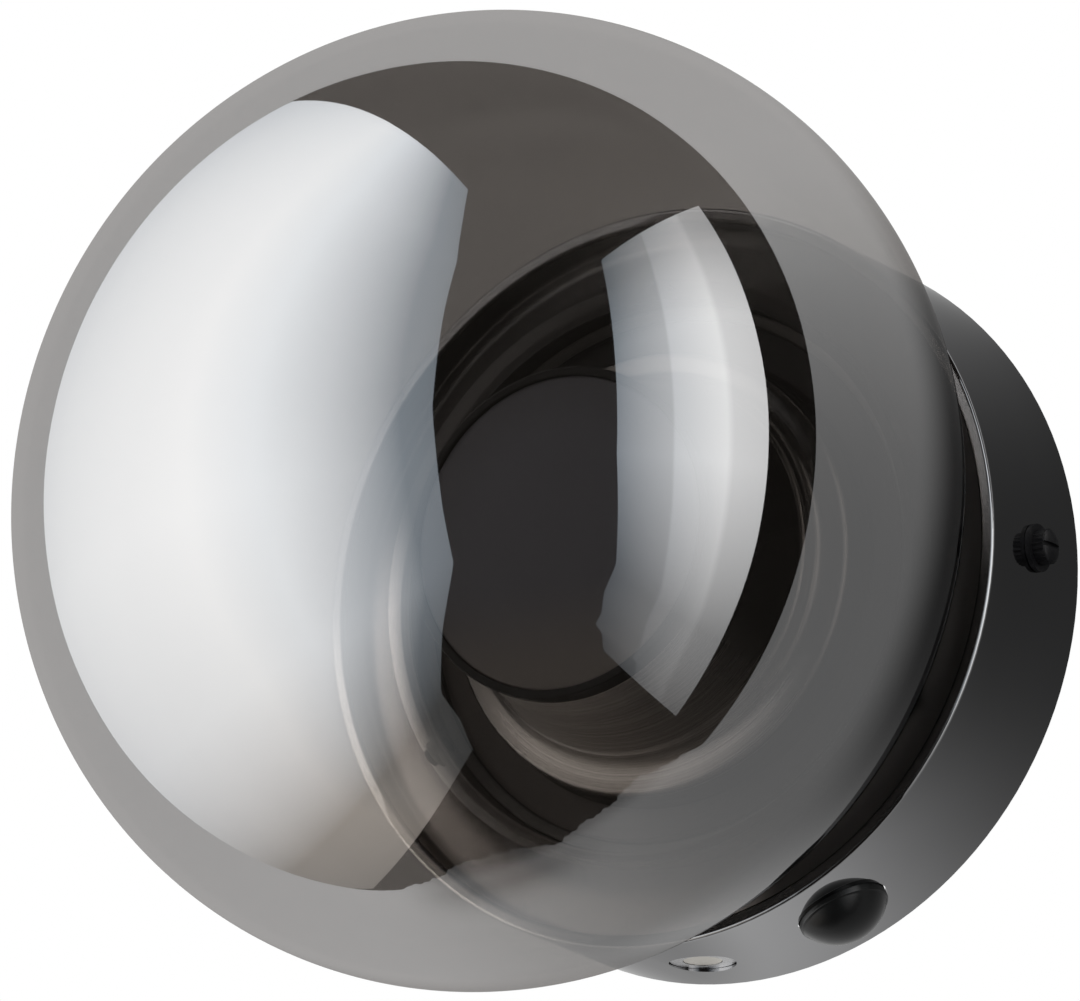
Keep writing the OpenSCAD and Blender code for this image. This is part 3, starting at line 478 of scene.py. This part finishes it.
def gloss_black_ring():
    f = Finish("gloss_black_ring")
    _, _, lines = turned_lines(f, 1800)
    colour = f.blend(lines, rgb(0.006, 0.006, 0.006), rgb(0.012, 0.011, 0.011))
    return f.out(f.surface(base_color=colour, roughness=0.12 + 0.1 * lines, specular_ior_level=0.25,
                           normal=f.relief(lines, 0.04, 0.0003)))


turned_metal, gloss_ring = turned_black(), gloss_black_ring()
print("turned:", turned_metal.name, gloss_ring.name)

# %% [markdown]
# ## Painted holder and frosted disc
# The neck's holder is painted satin black, with the fine skin of sprayed paint. The disc is frosted: pale and
# dull, with a very fine grain, and a little darker towards its edge. Both get a lighter tone on their lower
# side by place, for what they mirror in the photograph.

# %% Paint and frost
def satin_black():
    f = Finish("satin_black_paint")
    here, (x, _, z) = f.place()
    peel = f.noise(700, 2, at=here)
    # Painted reflection: the paint is pale towards its lower left.
    wear_and_sheen = ((0 - x * 0.7 - z * 0.7) / (x * x + z * z) ** 0.5).between(0.3, 0.85)
    colour = f.blend(f.noise(25, 3, at=here), rgb(0.02, 0.0195, 0.019), rgb(0.032, 0.031, 0.03))
    colour = f.blend(wear_and_sheen, colour, rgb(0.22, 0.2, 0.19))
    return f.out(f.surface(base_color=colour, roughness=0.36 + 0.12 * peel, specular_ior_level=0.2,
                           normal=f.relief(peel, 0.12, 0.0003)))


def frosted_disc():
    f = Finish("frosted_disc")
    (_, _, z), from_axis, _ = turned_lines(f, 900)
    grain = f.noise(1500, 3)
    shade = from_axis.between(0.02, 0.0325)
    colour = f.blend(shade, rgb(0.28, 0.29, 0.34), rgb(0.235, 0.24, 0.275))
    colour = f.blend((0 - z).between(0.008, 0.032), colour, rgb(0.44, 0.405, 0.38))
    return f.out(f.surface(base_color=colour, roughness=0.42 + 0.15 * grain,
                           normal=f.relief(grain, 0.08, 0.0002)))


holder_paint, disc_frost = satin_black(), frosted_disc()
print("painted and frosted:", holder_paint.name, disc_frost.name)

# %% [markdown]
# ## The bell hub
# The hub is a bell: its flank runs almost straight at the top and sweeps outwards at the foot, with one fine
# turned step above. The sweep and the step gather the studio's reflections into the bright crescents seen
# below the disc, so they are cut finely. The packed solid has a plain flank. Its foot, top and height are
# kept here.

# %% Bell hub
HUB_OUT, HUB_H, HUB_TOP, HUB_FOOT, HUB_WALL = 32.0, 42.5, 34.8, 48.0, 2.0


def flare(z):
    """The bell's radius at a height: a slow flare, a fine turned step and a short sweep onto a wide foot."""
    slow = HUB_TOP + 8.6 * ((HUB_H - max(z, 12)) / (HUB_H - 2)) ** 1.75
    step = 0.55 / (1 + math.exp((z - 14.6) / 0.22))
    sweep = 6.4 / (1 + math.exp((z - 10.2) / 0.65))
    return slow + step + sweep


def bell_hub():
    steps = 160
    up = [2 + (HUB_H - 2) * k / steps for k in range(steps + 1)]
    flank = [(flare(z), z) for z in up]
    inside = [(flare(z) - HUB_WALL, z) for z in reversed(up) if z < 29]
    top = HUB_TOP - 1.4
    rim = bend(HUB_TOP - 0.25, HUB_H - 0.25, 0.25, 0, 90, 4)
    ledge = [(top, HUB_H), (top, HUB_H - 4.5), (top - 1.4, HUB_H - 4.5), (top - 1.4, HUB_H - 8.5)]
    foot = [(HUB_FOOT - HUB_WALL, 0), (HUB_FOOT - 0.3, 0), (HUB_FOOT, 0.3)]
    outline = foot + flank[:-1] + rim + ledge + inside
    return turned("hub_bell", [(r, HUB_OUT + z) for r, z in outline], turned_metal, "fixture",
                  ["lamp_hub"], 256)


bell_hub()

# %% [markdown]
# ## Frosted disc and trim ring
# The disc is a frosted plate with a short skirt. It lies behind a thin ring, whose outer edge is rounded.
# Both are turned too, so two more outlines are enough.

# %% Frosted disc and ring
DISC_R, DISC_OUT, DISC_T, SKIRT_OUT, SKIRT_T = 32.9, 78.0, 1.8, 73.0, 1.2


def disc_outline():
    back, inner = DISC_OUT - DISC_T, DISC_R - SKIRT_T
    under = [(0, back), (inner, back), (inner, SKIRT_OUT), (DISC_R, SKIRT_OUT)]
    return under + bend(DISC_R - 0.4, DISC_OUT - 0.4, 0.4, 0, 90, 4) + [(0, DISC_OUT)]


turned("disc_frosted", disc_outline(), disc_frost, "fixture", ["diffuser"], 192, closed=False)
ring_outline = (
    [(32.95, 73.2), (33.25, 73.2), (33.25, 74.5), (34.8, 74.5)]
    + bend(34.3, 78.1, 0.5, 0, 90, 6)
    + bend(33.2, 78.35, 0.25, 90, 180, 4)
)
turned("trim_ring", ring_outline, gloss_ring, "fixture", ["diffuser_ring"], 256)

# %% [markdown]
# ## Small parts of metal
# Behind the canopy sit ordinary things: a zinc-plated plate, brass, moulded plastic, drawn wire, leads. Each
# family of finishes has one function, because a family differs in colour and in how coarse it is, not in
# kind. Metals get a colour that drifts and long rubbed marks. Zinc gets patches too, for its crystals.

# %% Worked metal and zinc
def worked_metal(name, low, high, rough, coarse=90, marks=(1.0, 12.0, 1.0), depth=0.0004):
    f = Finish(name)
    here, _ = f.place()
    drift = f.noise(22, 3, at=here).between(0.3, 0.7)
    rubbed = f.noise(coarse, 5, 0.65, at=f.stretch(here, marks))
    colour = f.blend(drift, rgb(*low), rgb(*high))
    return f.out(f.surface(base_color=colour, metallic=1.0, roughness=rough + 0.16 * rubbed - 0.06,
                           normal=f.relief(rubbed, 0.12, depth)))


def zinc_plate():
    """Zinc shows its crystals as patches of slightly different grey."""
    f = Finish("zinc_plate")
    here, _ = f.place()
    patch = f.add("TexVoronoi", {"feature": "F1"}, {"Vector": here, "Scale": 260.0, "Randomness": 1.0}, out=1)
    grey = f.blend(0.35, f.blend(f.noise(30, 3, at=here), rgb(0.5, 0.52, 0.55), rgb(0.66, 0.67, 0.68)), patch)
    tone = f.add("HueSaturation", inputs={"Color": grey, "Saturation": 0.08, "Value": 0.95})
    rubbed = f.noise(140, 4, at=here)
    return f.out(f.surface(base_color=tone, metallic=1.0, roughness=0.28 + 0.2 * rubbed,
                           normal=f.relief(rubbed, 0.1, 0.0004)))


print("metals:", worked_metal.__name__, zinc_plate.__name__)

# %% [markdown]
# ## Moulded parts, black oxide and the gloss dome
# Moulded parts get the fine grain of a spark-eroded tool, and wear that polishes it. Black oxide on screws is
# thin, so it rubs through to grey. The switch's dome comes from a polished tool: it has no grain, only a slow
# wave.

# %% Moulded plastic, black oxide and gloss dome
def moulded(name, low, high, rough=0.4, grain=1400, depth=0.00025):
    f = Finish(name)
    here, _ = f.place()
    spark = f.noise(grain, 3, at=here)
    wear_and_sheen = f.noise(35, 4, at=here).between(0.4, 0.75)
    colour = f.blend(wear_and_sheen, rgb(*low), rgb(*high))
    return f.out(f.surface(base_color=colour, roughness=rough - 0.08 * wear_and_sheen + 0.12 * spark,
                           normal=f.relief(spark, 0.16, depth)))


def black_oxide():
    f = Finish("black_oxide")
    here, _ = f.place()
    rubbed = f.noise(170, 5, 0.6, at=here)
    colour = f.blend(rubbed.between(0.45, 0.8), rgb(0.022, 0.022, 0.024), rgb(0.06, 0.058, 0.058))
    return f.out(f.surface(base_color=colour, metallic=0.65, roughness=0.3 + 0.18 * rubbed,
                           normal=f.relief(rubbed, 0.15, 0.0003)))


def gloss_dome():
    """Moulded gloss black: a clean skin over a slightly wavy surface."""
    f = Finish("gloss_dome")
    here, _ = f.place()
    fine = f.noise(260, 3, at=here)
    colour = f.blend(fine, rgb(0.008, 0.0085, 0.0085), rgb(0.012, 0.0125, 0.0125))
    return f.out(f.surface(base_color=colour, roughness=0.27 + 0.08 * fine, coat_weight=0.02 + 0.04 * fine,
                           specular_ior_level=0.25, normal=f.relief(f.noise(90, 2, at=here), 0.02, 0.0006)))


print("moulded and dark:", moulded.__name__, black_oxide.__name__, gloss_dome.__name__)

# %% [markdown]
# ## Button face, leads, board and chips
# The button's face was turned, so its lines are rings about its own middle. Leads have a slight draw along
# their skin, and the earth lead a yellow stripe. On the board, traces show through the white mask as
# straight, slightly darker lines, and the chips have the grain of yellow phosphor.

# %% Button face, leads, board and chips
def satin_nickel_face():
    """The button's face is turned from its middle, which lies at the bottom of the canopy's side."""
    f = Finish("satin_nickel_face")
    _, (x, y, _) = f.place()
    dx, dy = x, y + SIDE_OUT * MM
    rings = f.add("CombineXYZ", inputs={0: (dx * dx + dy * dy) ** 0.5 * 9000, 1: 0.0, 2: 0.0})
    lines = f.add("TexNoise", inputs={"Vector": rings, "Scale": 1.0, "Detail": 3.0})
    colour = f.blend(lines.between(0.35, 0.7), rgb(0.5, 0.48, 0.43), rgb(0.62, 0.59, 0.54))
    return f.out(f.surface(base_color=colour, metallic=0.85, roughness=0.3 + 0.2 * lines,
                           normal=f.relief(lines, 0.1, 0.0003)))


def lead_skin(name, colour, stripe=None):
    f = Finish(name)
    here, (x, _, z) = f.place()
    drawn = f.noise(240, 3, at=f.stretch(here, (1.0, 1.0, 0.4)))
    skin = f.blend(drawn, rgb(*[0.85 * v for v in colour]), rgb(*colour))
    if stripe:
        band = ((x * 900 + z * 900).wave()).between(-0.1, 0.1)
        skin = f.blend(band, skin, rgb(*stripe))
    return f.out(f.surface(base_color=skin, roughness=0.36 + 0.14 * drawn,
                           normal=f.relief(drawn, 0.1, 0.0003)))


def solder_mask():
    """White mask with darker traces that show through it as straight lines."""
    f = Finish("solder_mask")
    here, (_, _, z) = f.place()
    rows = ((z * 2600).wave()).between(0.86, 0.97)
    breaks = f.noise(130, 0, at=here).between(0.5, 0.52)
    colour = f.blend(rows * breaks, rgb(0.78, 0.78, 0.76), rgb(0.62, 0.64, 0.6))
    return f.out(f.surface(base_color=colour, roughness=0.32 + 0.1 * f.noise(700, 2, at=here),
                           normal=f.relief(rows * breaks, 0.15, 0.0002)))


def phosphor():
    f = Finish("phosphor")
    here, _ = f.place()
    grain = f.noise(2200, 2, at=here)
    colour = f.blend(grain, rgb(0.8, 0.62, 0.08), rgb(0.86, 0.7, 0.16))
    return f.out(f.surface(base_color=colour, roughness=0.45 + 0.15 * grain,
                           normal=f.relief(grain, 0.15, 0.0001)))


print("small:", satin_nickel_face.__name__, lead_skin.__name__, solder_mask.__name__, phosphor.__name__)

# %% [markdown]
# ## One finish for each slot
# The packed solids that no piece of this script stands for keep their shapes and only get a finish. The
# record names each solid's slot, so one table from slot to finish dresses them all.

# %% Finishes of the packed solids
FINISHES = {
    "zinc_steel": zinc_plate(),
    "black_rubber": moulded("moulded_rubber", (0.02, 0.02, 0.02), (0.034, 0.033, 0.033), 0.62, 900),
    "brass": worked_metal("turned_brass", (0.72, 0.52, 0.26), (0.84, 0.64, 0.36), 0.26),
    "tinned_copper": worked_metal("tin_plate", (0.62, 0.62, 0.61), (0.76, 0.75, 0.72), 0.3),
    "white_plastic": moulded("moulded_white", (0.76, 0.76, 0.73), (0.82, 0.82, 0.8), 0.42),
    "black_nickel": plate,
    "black_metal": black_oxide(),
    "holder_black": holder_paint,
    "raw_aluminium": worked_metal("extruded_aluminium", (0.66, 0.67, 0.69), (0.8, 0.8, 0.81), 0.34, 300),
    "board_white": solder_mask(),
    "chip_yellow": phosphor(),
    "dark_plastic": moulded("moulded_dark", (0.028, 0.028, 0.03), (0.042, 0.042, 0.044), 0.45),
    "spring_steel": worked_metal("drawn_wire", (0.42, 0.42, 0.43), (0.58, 0.58, 0.58), 0.22, 500),
    "satin_nickel": satin_nickel_face(),
    "bezel_grey": worked_metal("satin_bezel", (0.3, 0.3, 0.305), (0.4, 0.4, 0.4), 0.26, 160),
    "lead_green": lead_skin("lead_green", (0.04, 0.3, 0.07), (0.75, 0.66, 0.05)),
    "lead_brown": lead_skin("lead_brown", (0.17, 0.075, 0.03)),
    "lead_blue": lead_skin("lead_blue", (0.04, 0.13, 0.45)),
    "lead_red": lead_skin("lead_red", (0.5, 0.025, 0.02)),
    "lead_black": lead_skin("lead_black", (0.03, 0.03, 0.03)),
    "lead_grey": lead_skin("lead_grey", (0.3, 0.3, 0.3)),
}
for part in frame["record"]["subparts"]:
    finish = FINISHES.get(part["material_slot"])
    if finish and part["node"] in nodes:
        nodes[part["node"]].data.materials.clear()
        nodes[part["node"]].data.materials.append(finish)

# %% [markdown]
# ## The domed switch cap
# A gloss black cap is a low dome on a straight skirt. It is spun about an axis that points out of the
# canopy's side at 65 degrees below the horizontal, with a small rounded corner between dome and skirt.

# %% Domed cap
SWITCH_ANGLE, CAP_R, CAP_FOOT, CAP_TOP, DOME_H = -65, 9.6, 74.0, 84.6, 5.95


def domed_cap():
    corner = 0.35
    radius = (CAP_R ** 2 + DOME_H ** 2) / (2 * DOME_H)
    centre = CAP_TOP - radius
    edge = math.degrees(math.asin((CAP_R - corner) / radius))
    dome = bend(0, centre, radius, 90 - edge, 90, 40)
    dome[-1] = (0.0, CAP_TOP)
    first = dome[0]
    side = [(CAP_R, first[1] - 1.1 * corner)]
    soft = [((CAP_R + first[0]) / 2 + 0.08, first[1] - 0.4 * corner)]
    outline = [(CAP_R - 1.2, CAP_FOOT), (CAP_R, CAP_FOOT)] + side + soft + dome
    inside = [(0.0, CAP_TOP - 1.4), (CAP_R - 3.5, CAP_TOP - 3.2), (CAP_R - 1.2, CAP_TOP - 6.4)]
    return turned("switch_dome", outline + inside, gloss_dome(), "switch_button",
                  ["switch_cap"], 128, at_side(SWITCH_ANGLE))


domed_cap()

# %% [markdown] ## The spring under the small button A coil spring pushes the button back. It is one wire
# wound round the button's axis, so a small circle is carried along a helix.

# %% Button spring
BUTTON_ANGLE, SPRING_LOW, SPRING_HIGH, BUTTON_TRAVEL = -90, 61.55, 71.6, 1.0
SPRING_R, WIRE_R, SPRING_TURNS = 3.4, 0.35, 6


def wound_wire(name, low, high, coil_r, wire_r, turns, angle, around=10, per_turn=28):
    """A wire wound as a helix on the canopy's side, between two distances from the light's axis."""
    points, faces = [], []
    place = at_side(angle)
    count = round(turns * per_turn)
    slope = (high - low - 2 * wire_r) / (math.tau * turns * coil_r)
    for k in range(count + 1):
        a = math.tau * turns * k / count
        middle = Vector((coil_r * math.cos(a), coil_r * math.sin(a), low + wire_r + slope * coil_r * a))
        outwards = Vector((math.cos(a), math.sin(a), 0))
        across = Vector((-math.sin(a), math.cos(a), slope)).normalized().cross(outwards)
        for j in range(around):
            b = math.tau * j / around
            points.append(place @ (middle + wire_r * (math.cos(b) * outwards + math.sin(b) * across)))
    for k in range(count):
        for j in range(around):
            first, second = k * around + j, k * around + (j + 1) % around
            faces.append((first, second, second + around, first + around))
    faces.append(tuple(reversed(range(around))))
    faces.append(tuple(range(count * around, (count + 1) * around)))
    piece = add_piece(name, points, faces, [FINISHES["spring_steel"]], "fixture",
                      replaces=["mode_button_spring"])
    print(name, len(faces), "faces, wound", turns, "times")
    return piece


spring = wound_wire("button_spring", SPRING_LOW, SPRING_HIGH, SPRING_R, WIRE_R, SPRING_TURNS, BUTTON_ANGLE)
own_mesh(spring)

# %% [markdown]
# ## The studio
# The photograph's light can be read from its mirror image in the globe: a great curved softbox wraps round
# the left, a pleated strip stands at the right, and a round white board lies behind the light. Outside them
# the room is almost black. The two panels are flat sheets whose points are moved to a sphere round the
# globe. They are seen by mirrors only, and plain area lamps light the rest at a moderate level, so pale
# parts keep their colour.

# %% Panels
CENTRE = Vector((0.0, -0.108, 0.0))
PANEL_AWAY = 0.9


def between_stops(stops, at):
    """The value at a place between given stops, on straight lines from one stop to the next."""
    for (low, first), (high, second) in zip(stops, stops[1:]):
        if low <= at <= high:
            return first + (second - first) * (at - low) / (high - low)
    return stops[0][1] if at < stops[0][0] else stops[-1][1]


def flat_panel(name, turn, across, up, finish, columns=48, rows=90, wave=((0, 0),), left_wave=((0, 0),)):
    """A flat panel of light that faces the globe from a turn, in degrees to the right of straight ahead.

    Its sides are given as shares of its distance, and its points are moved along their directions to one
    sphere. Cloth sags, so the sides may wave."""
    turn = math.radians(turn)
    ahead, side = Vector((math.sin(turn), -math.cos(turn), 0)), Vector((math.cos(turn), math.sin(turn), 0))
    points, faces, flat = [], [], []
    for j in range(rows + 1):
        for i in range(columns + 1):
            b = up[0] + (up[1] - up[0]) * j / rows
            left = across[0] + between_stops(left_wave, b)
            a = left + (across[1] + between_stops(wave, b) - left) * i / columns
            points.append(CENTRE + PANEL_AWAY * (ahead + a * side + Vector((0, 0, b))).normalized())
            flat.append((i / columns, j / rows))
    for j in range(rows):
        for i in range(columns):
            a = j * (columns + 1) + i
            faces.append((a, a + 1, a + columns + 2, a + columns + 1))
    mesh = bpy.data.meshes.new(name)
    mesh.from_pydata(points, [], faces)
    layer = mesh.uv_layers.new(name="flat")
    for loop in mesh.loops:
        layer.data[loop.index].uv = flat[loop.vertex_index]
    mesh.materials.append(finish)
    panel = bpy.data.objects.new(name, mesh)
    bpy.context.scene.collection.objects.link(panel)
    panel.visible_camera = panel.visible_diffuse = panel.visible_shadow = False
    return panel


print("panels stand", PANEL_AWAY, "m from the globe")

# %% [markdown]
# ## The light of a panel
# A real softbox is brightest in its middle and falls off towards its sides, and a pleated strip changes from
# pleat to pleat. So a panel's light is one row of brightness stops across it, times one row up it. A stop is
# plain, faintly cool, cool or warm.

# %% Light of a panel
PLAIN, FAINT, COOL, WARM = (1, 1, 1), (0.95, 0.975, 1), (0.8, 0.9, 1), (1, 0.9, 0.8)


def panel_light(name, across, up, across_stops, up_stops, strength):
    """Light of one row of stops across the panel, times one row up it: place, brightness and tint."""
    f = Finish(name)
    split = f.add("SeparateXYZ", inputs={0: f.add("TexCoord", out="UV")})
    u, v = (Value(f, split.socket.node.outputs[i]) for i in (0, 1))
    rows = []
    for place, ends, stops in ((u, across, across_stops), (v, up, up_stops)):
        shares = [((at - ends[0]) / (ends[1] - ends[0]), rgb(*(level * t for t in tint)))
                  for at, level, tint in stops]
        rows.append(f.add("ValToRGB", {"stops": shares}, {0: place}))
    settings = {"data_type": "RGBA", "blend_type": "MULTIPLY"}
    colour = f.add("Mix", settings, {0: 1.0, 6: rows[0], 7: rows[1]}, out=2)
    return f.out(f.add("Emission", inputs={"Color": colour, "Strength": strength}))


print("panel light: one row across, times one row up")

# %% [markdown]
# ## Softbox and strip
# The panels' ends, and how the cloth's side waves, were measured on the edges of their mirror images in the
# globe. Their brightness is kept to a few plain stops that show where each is bright and where it fades: the
# softbox to a cool grey at its inner side and a warm one at its foot, the strip with one pleat's edge and one
# bright crest.

# %% Softbox and strip
SOFTBOX_TURN, SOFTBOX_STRENGTH, STRIP_TURN, STRIP_STRENGTH = -48.5, 3.2, 95, 2.95
SOFTBOX_ACROSS, SOFTBOX_UP = (-1.48, 1.4), (-3.0, 2.62)
SOFTBOX_WAVE = [
    (-3.0, -0.06), (-2.2, -0.1), (-1.6, -0.25), (-1.1, -0.06), (-0.7, 0.18), (-0.3, 0.09), (0.3, 0),
    (1.0, 0.05), (1.5, 0.11), (2.1, 0.06), (2.62, 0),
]
STRIP_ACROSS, STRIP_UP = (-1.24, -0.21), (-1.26, 1.37)
STRIP_WAVE = [
    (-1.26, 0.16), (-1.14, 0.1), (-1.12, 0.0), (-1.0, 0.05), (-0.84, 0.04), (-0.62, 0.12), (0, 0.03),
    (1.37, 0),
]
softbox_light = panel_light("softbox_light", SOFTBOX_ACROSS, SOFTBOX_UP, [
    (-1.48, 0.75, FAINT), (0, 1, PLAIN), (0.3, 0.92, FAINT), (1.1, 0.28, COOL), (1.4, 0.23, COOL),
], [
    (-3, 0.2, WARM), (-1.7, 0.25, WARM), (-0.6, 0.85, PLAIN), (0, 1, PLAIN), (2.6, 0.87, FAINT),
], SOFTBOX_STRENGTH)
strip_light = panel_light("strip_light", STRIP_ACROSS, STRIP_UP, [
    (-1.24, 0.3, COOL), (-0.78, 0.6, FAINT), (-0.76, 0.75, FAINT), (-0.44, 1, PLAIN), (-0.4, 0.83, PLAIN),
    (-0.21, 0.75, PLAIN),
], [
    (-1.26, 0.15, PLAIN), (-0.7, 0.33, PLAIN), (0, 1, PLAIN), (0.6, 1, PLAIN), (1.1, 0.55, PLAIN),
    (1.37, 0.48, PLAIN),
], STRIP_STRENGTH)
softbox = flat_panel("softbox", SOFTBOX_TURN, SOFTBOX_ACROSS, SOFTBOX_UP, softbox_light, wave=SOFTBOX_WAVE)
strip = flat_panel("strip", STRIP_TURN, STRIP_ACROSS, STRIP_UP, strip_light, left_wave=STRIP_WAVE)
print("panels:", softbox.name, strip.name)

# %% [markdown]
# ## The white board
# The background is a large round board behind the light. The camera sees it plain white. Mirrors see it
# shaded, as if the light threw a soft shadow on it, so one finish answers camera rays and other rays
# differently. From behind it is clear, so that it doesn't hide the light in other views.

# %% White board
BOARD_R, BOARD_BACK = 800, 0.6


def board_light():
    """White to the camera and, for mirrors, white with the object's soft shadow at its right."""
    f = Finish("board_light")
    _, (x, y, z) = f.place()
    away = (x * x + z * z) ** 0.5
    near_turn, far_turn = math.radians(-2), math.radians(-30)
    near = ((x * math.cos(near_turn) + z * math.sin(near_turn)) / away).between(-0.08, 1.06)
    far = ((x * math.cos(far_turn) + z * math.sin(far_turn)) / away).between(-0.1, 1.0)
    reach = away.between(0.095, 0.17)
    left = (0 - x / away).between(-0.1, 0.2)
    # Painted shade: a darker patch low on the board.
    below = (0 - z / away).between(0.9, 0.98) * (1 - (x / away).between(-0.1, 0.3)) * away.between(0.3, 0.7)
    shadow = (near * 0.95 + left * 0.35) * (1 - reach) + far * 0.62 * reach + 0.42 * below
    # Painted shade: the apron darkens towards its front edge.
    fold = (0 - y).between(0.01, 0.09)
    path = f.add("LightPath")
    seen = path.socket.node.outputs["Is Camera Ray"]
    level = 1 - (shadow + 0.2 * fold) * (1 - Value(f, seen))
    white = f.add("Emission", inputs={"Color": f.blend(level, rgb(0, 0, 0), rgb(1, 1, 1)), "Strength": 1.0})
    behind = f.add("NewGeometry", out="Backfacing")
    clear = f.add("BsdfTransparent", inputs={"Color": rgb(1, 1, 1)})
    return f.out(f.add("MixShader", inputs={0: behind, 1: white, 2: clear}))


def stage_disc(name, radius, place, finish, steps=96):
    points, faces, _ = spin([(radius, 0), (0, 0)], steps, place, closed=False)
    mesh = bpy.data.meshes.new(name)
    mesh.from_pydata([tuple(MM * v for v in p) for p in points], [], faces)
    mesh.materials.append(finish)
    disc = bpy.data.objects.new(name, mesh)
    bpy.context.scene.collection.objects.link(disc)
    return disc


board = stage_disc("board", BOARD_R, Matrix.Translation((0, BOARD_BACK, 0)) @ OUT_OF_WALL, board_light())
board.visible_diffuse = False
print("board faces", [round(v, 2) for v in board.data.polygons[0].normal])

# %% [markdown]
# ## The torn apron
# Along the board's lower edge the paper bends forwards, and its front edge is torn. Only mirrors show it. It
# could be cut from a plane with a noise, but a strip whose width follows a few stops, with three sines for
# the tear, is lighter and stays the same each time.

# %% Torn apron
APRON_OUT = [(-122, 0), (-115, 0.01), (-107, 0.065), (-101, 0.105), (-95, 0.12), (-84, 0.06), (-74, 0.085),
             (-64, 0.1), (-58, 0.05), (-53, 0)]


def torn_apron(radius=0.8, steps=300):
    """The board's paper bends forwards along its lower edge. Its front edge is torn."""
    points, faces = [], []
    for k in range(steps + 1):
        angle = -46 - 76 * k / steps
        a, out = math.radians(angle), between_stops(APRON_OUT, angle)
        tear = 0.5 * math.sin(31 * a) + 0.3 * math.sin(83 * a + 1) + 0.25 * math.sin(197 * a + 2)
        x, z = radius * math.cos(a), radius * math.sin(a)
        points += [(x, 0.0006, z), (x, -out - min(0.012, out / 4) * tear, z)]
    for k in range(steps):
        faces.append((2 * k, 2 * k + 2, 2 * k + 3, 2 * k + 1))
    mesh = bpy.data.meshes.new("torn_apron")
    mesh.from_pydata(points, [], faces)
    apron = bpy.data.objects.new("torn_apron", mesh)
    bpy.context.scene.collection.objects.link(apron)
    apron.visible_camera = apron.visible_diffuse = apron.visible_shadow = False
    return apron


apron = torn_apron()
apron.data.materials.append(board.data.materials[0])
print("apron faces", [round(v, 2) for v in apron.data.polygons[0].normal])

# %% [markdown]
# ## The floor
# A pale, plain floor lies far below the light and takes its shadow. It glows a little, so it stays pale away
# from the lamps. Mirrors don't show it, and from below it is clear.

# %% Floor
FLOOR_R, FLOOR_LOW = 6000, 1200


def pale_floor():
    f = Finish("pale_floor")
    here, _ = f.place()
    colour = f.blend(f.noise(3, 4, at=here), rgb(0.8, 0.8, 0.8), rgb(0.84, 0.84, 0.835))
    glow = rgb(0.5, 0.5, 0.5)
    top = f.surface(base_color=colour, roughness=0.6, emission_color=glow, emission_strength=1.0)
    behind = f.add("NewGeometry", out="Backfacing")
    clear = f.add("BsdfTransparent", inputs={"Color": rgb(1, 1, 1)})
    return f.out(f.add("MixShader", inputs={0: behind, 1: top, 2: clear}))


floor = stage_disc("floor", FLOOR_R, Matrix.Translation((0, 0, -FLOOR_LOW)), pale_floor())
floor.visible_glossy = floor.visible_diffuse = False
print("floor faces", [round(v, 2) for v in floor.data.polygons[0].normal])

# %% [markdown]
# ## Lamps
# Four soft, square lamps stand round the light at a moderate level, as in a small product studio. Mirrors
# don't show them, because the panels already stand for what is mirrored.

# %% Lamps
def area_lamp(name, azimuth, elevation, away, size, power, tint=(1, 1, 1)):
    """A soft square lamp that looks at the globe and that mirrors don't show."""
    a, e = math.radians(azimuth), math.radians(elevation)
    out = Vector((math.sin(a) * math.cos(e), -math.cos(a) * math.cos(e), math.sin(e)))
    data = bpy.data.lights.new(name, "AREA")
    data.size = size
    data.energy = power
    data.color = tint
    lamp = bpy.data.objects.new(name, data)
    lamp.location = CENTRE + away * out
    lamp.rotation_mode = "QUATERNION"
    lamp.rotation_quaternion = (-out).to_track_quat("-Z", "Y")
    lamp.visible_glossy = lamp.visible_camera = False
    bpy.context.scene.collection.objects.link(lamp)
    return lamp


area_lamp("lamp_left", -55, 25, 1.8, 1.4, 16)
area_lamp("lamp_right", 62, 10, 1.8, 0.9, 8)
area_lamp("lamp_above", 10, 75, 1.8, 1.2, 6)
area_lamp("lamp_behind", 165, 25, 1.8, 1.4, 12)

# %% [markdown]
# ## The room
# The room is white to the camera, almost black to mirrors and soft grey to everything else. One world can be
# all three, because Light Path tells the rays apart.

# %% Room
room = bpy.data.worlds.new("room")
bpy.context.scene.world = room
room.use_nodes = True
room.node_tree.nodes.clear()
room_nodes = room.node_tree.nodes
path = room_nodes.new("ShaderNodeLightPath")


def room_tone(*colour):
    tone = room_nodes.new("ShaderNodeBackground")
    tone.inputs["Color"].default_value = rgb(*colour)
    return tone


dark, soft, white = room_tone(0.016, 0.014, 0.012), room_tone(0.22, 0.22, 0.225), room_tone(1, 1, 1)
for_mirrors = room_nodes.new("ShaderNodeMixShader")
for_camera = room_nodes.new("ShaderNodeMixShader")
room_out = room_nodes.new("ShaderNodeOutputWorld")
for a, b in (
    (path.outputs["Is Glossy Ray"], for_mirrors.inputs[0]), (soft.outputs[0], for_mirrors.inputs[1]),
    (dark.outputs[0], for_mirrors.inputs[2]), (path.outputs["Is Camera Ray"], for_camera.inputs[0]),
    (for_mirrors.outputs[0], for_camera.inputs[1]), (white.outputs[0], for_camera.inputs[2]),
    (for_camera.outputs[0], room_out.inputs["Surface"]),
):
    room.node_tree.links.new(a, b)
print("room:", len(room_nodes), "nodes")

# %% [markdown]
# ## The end
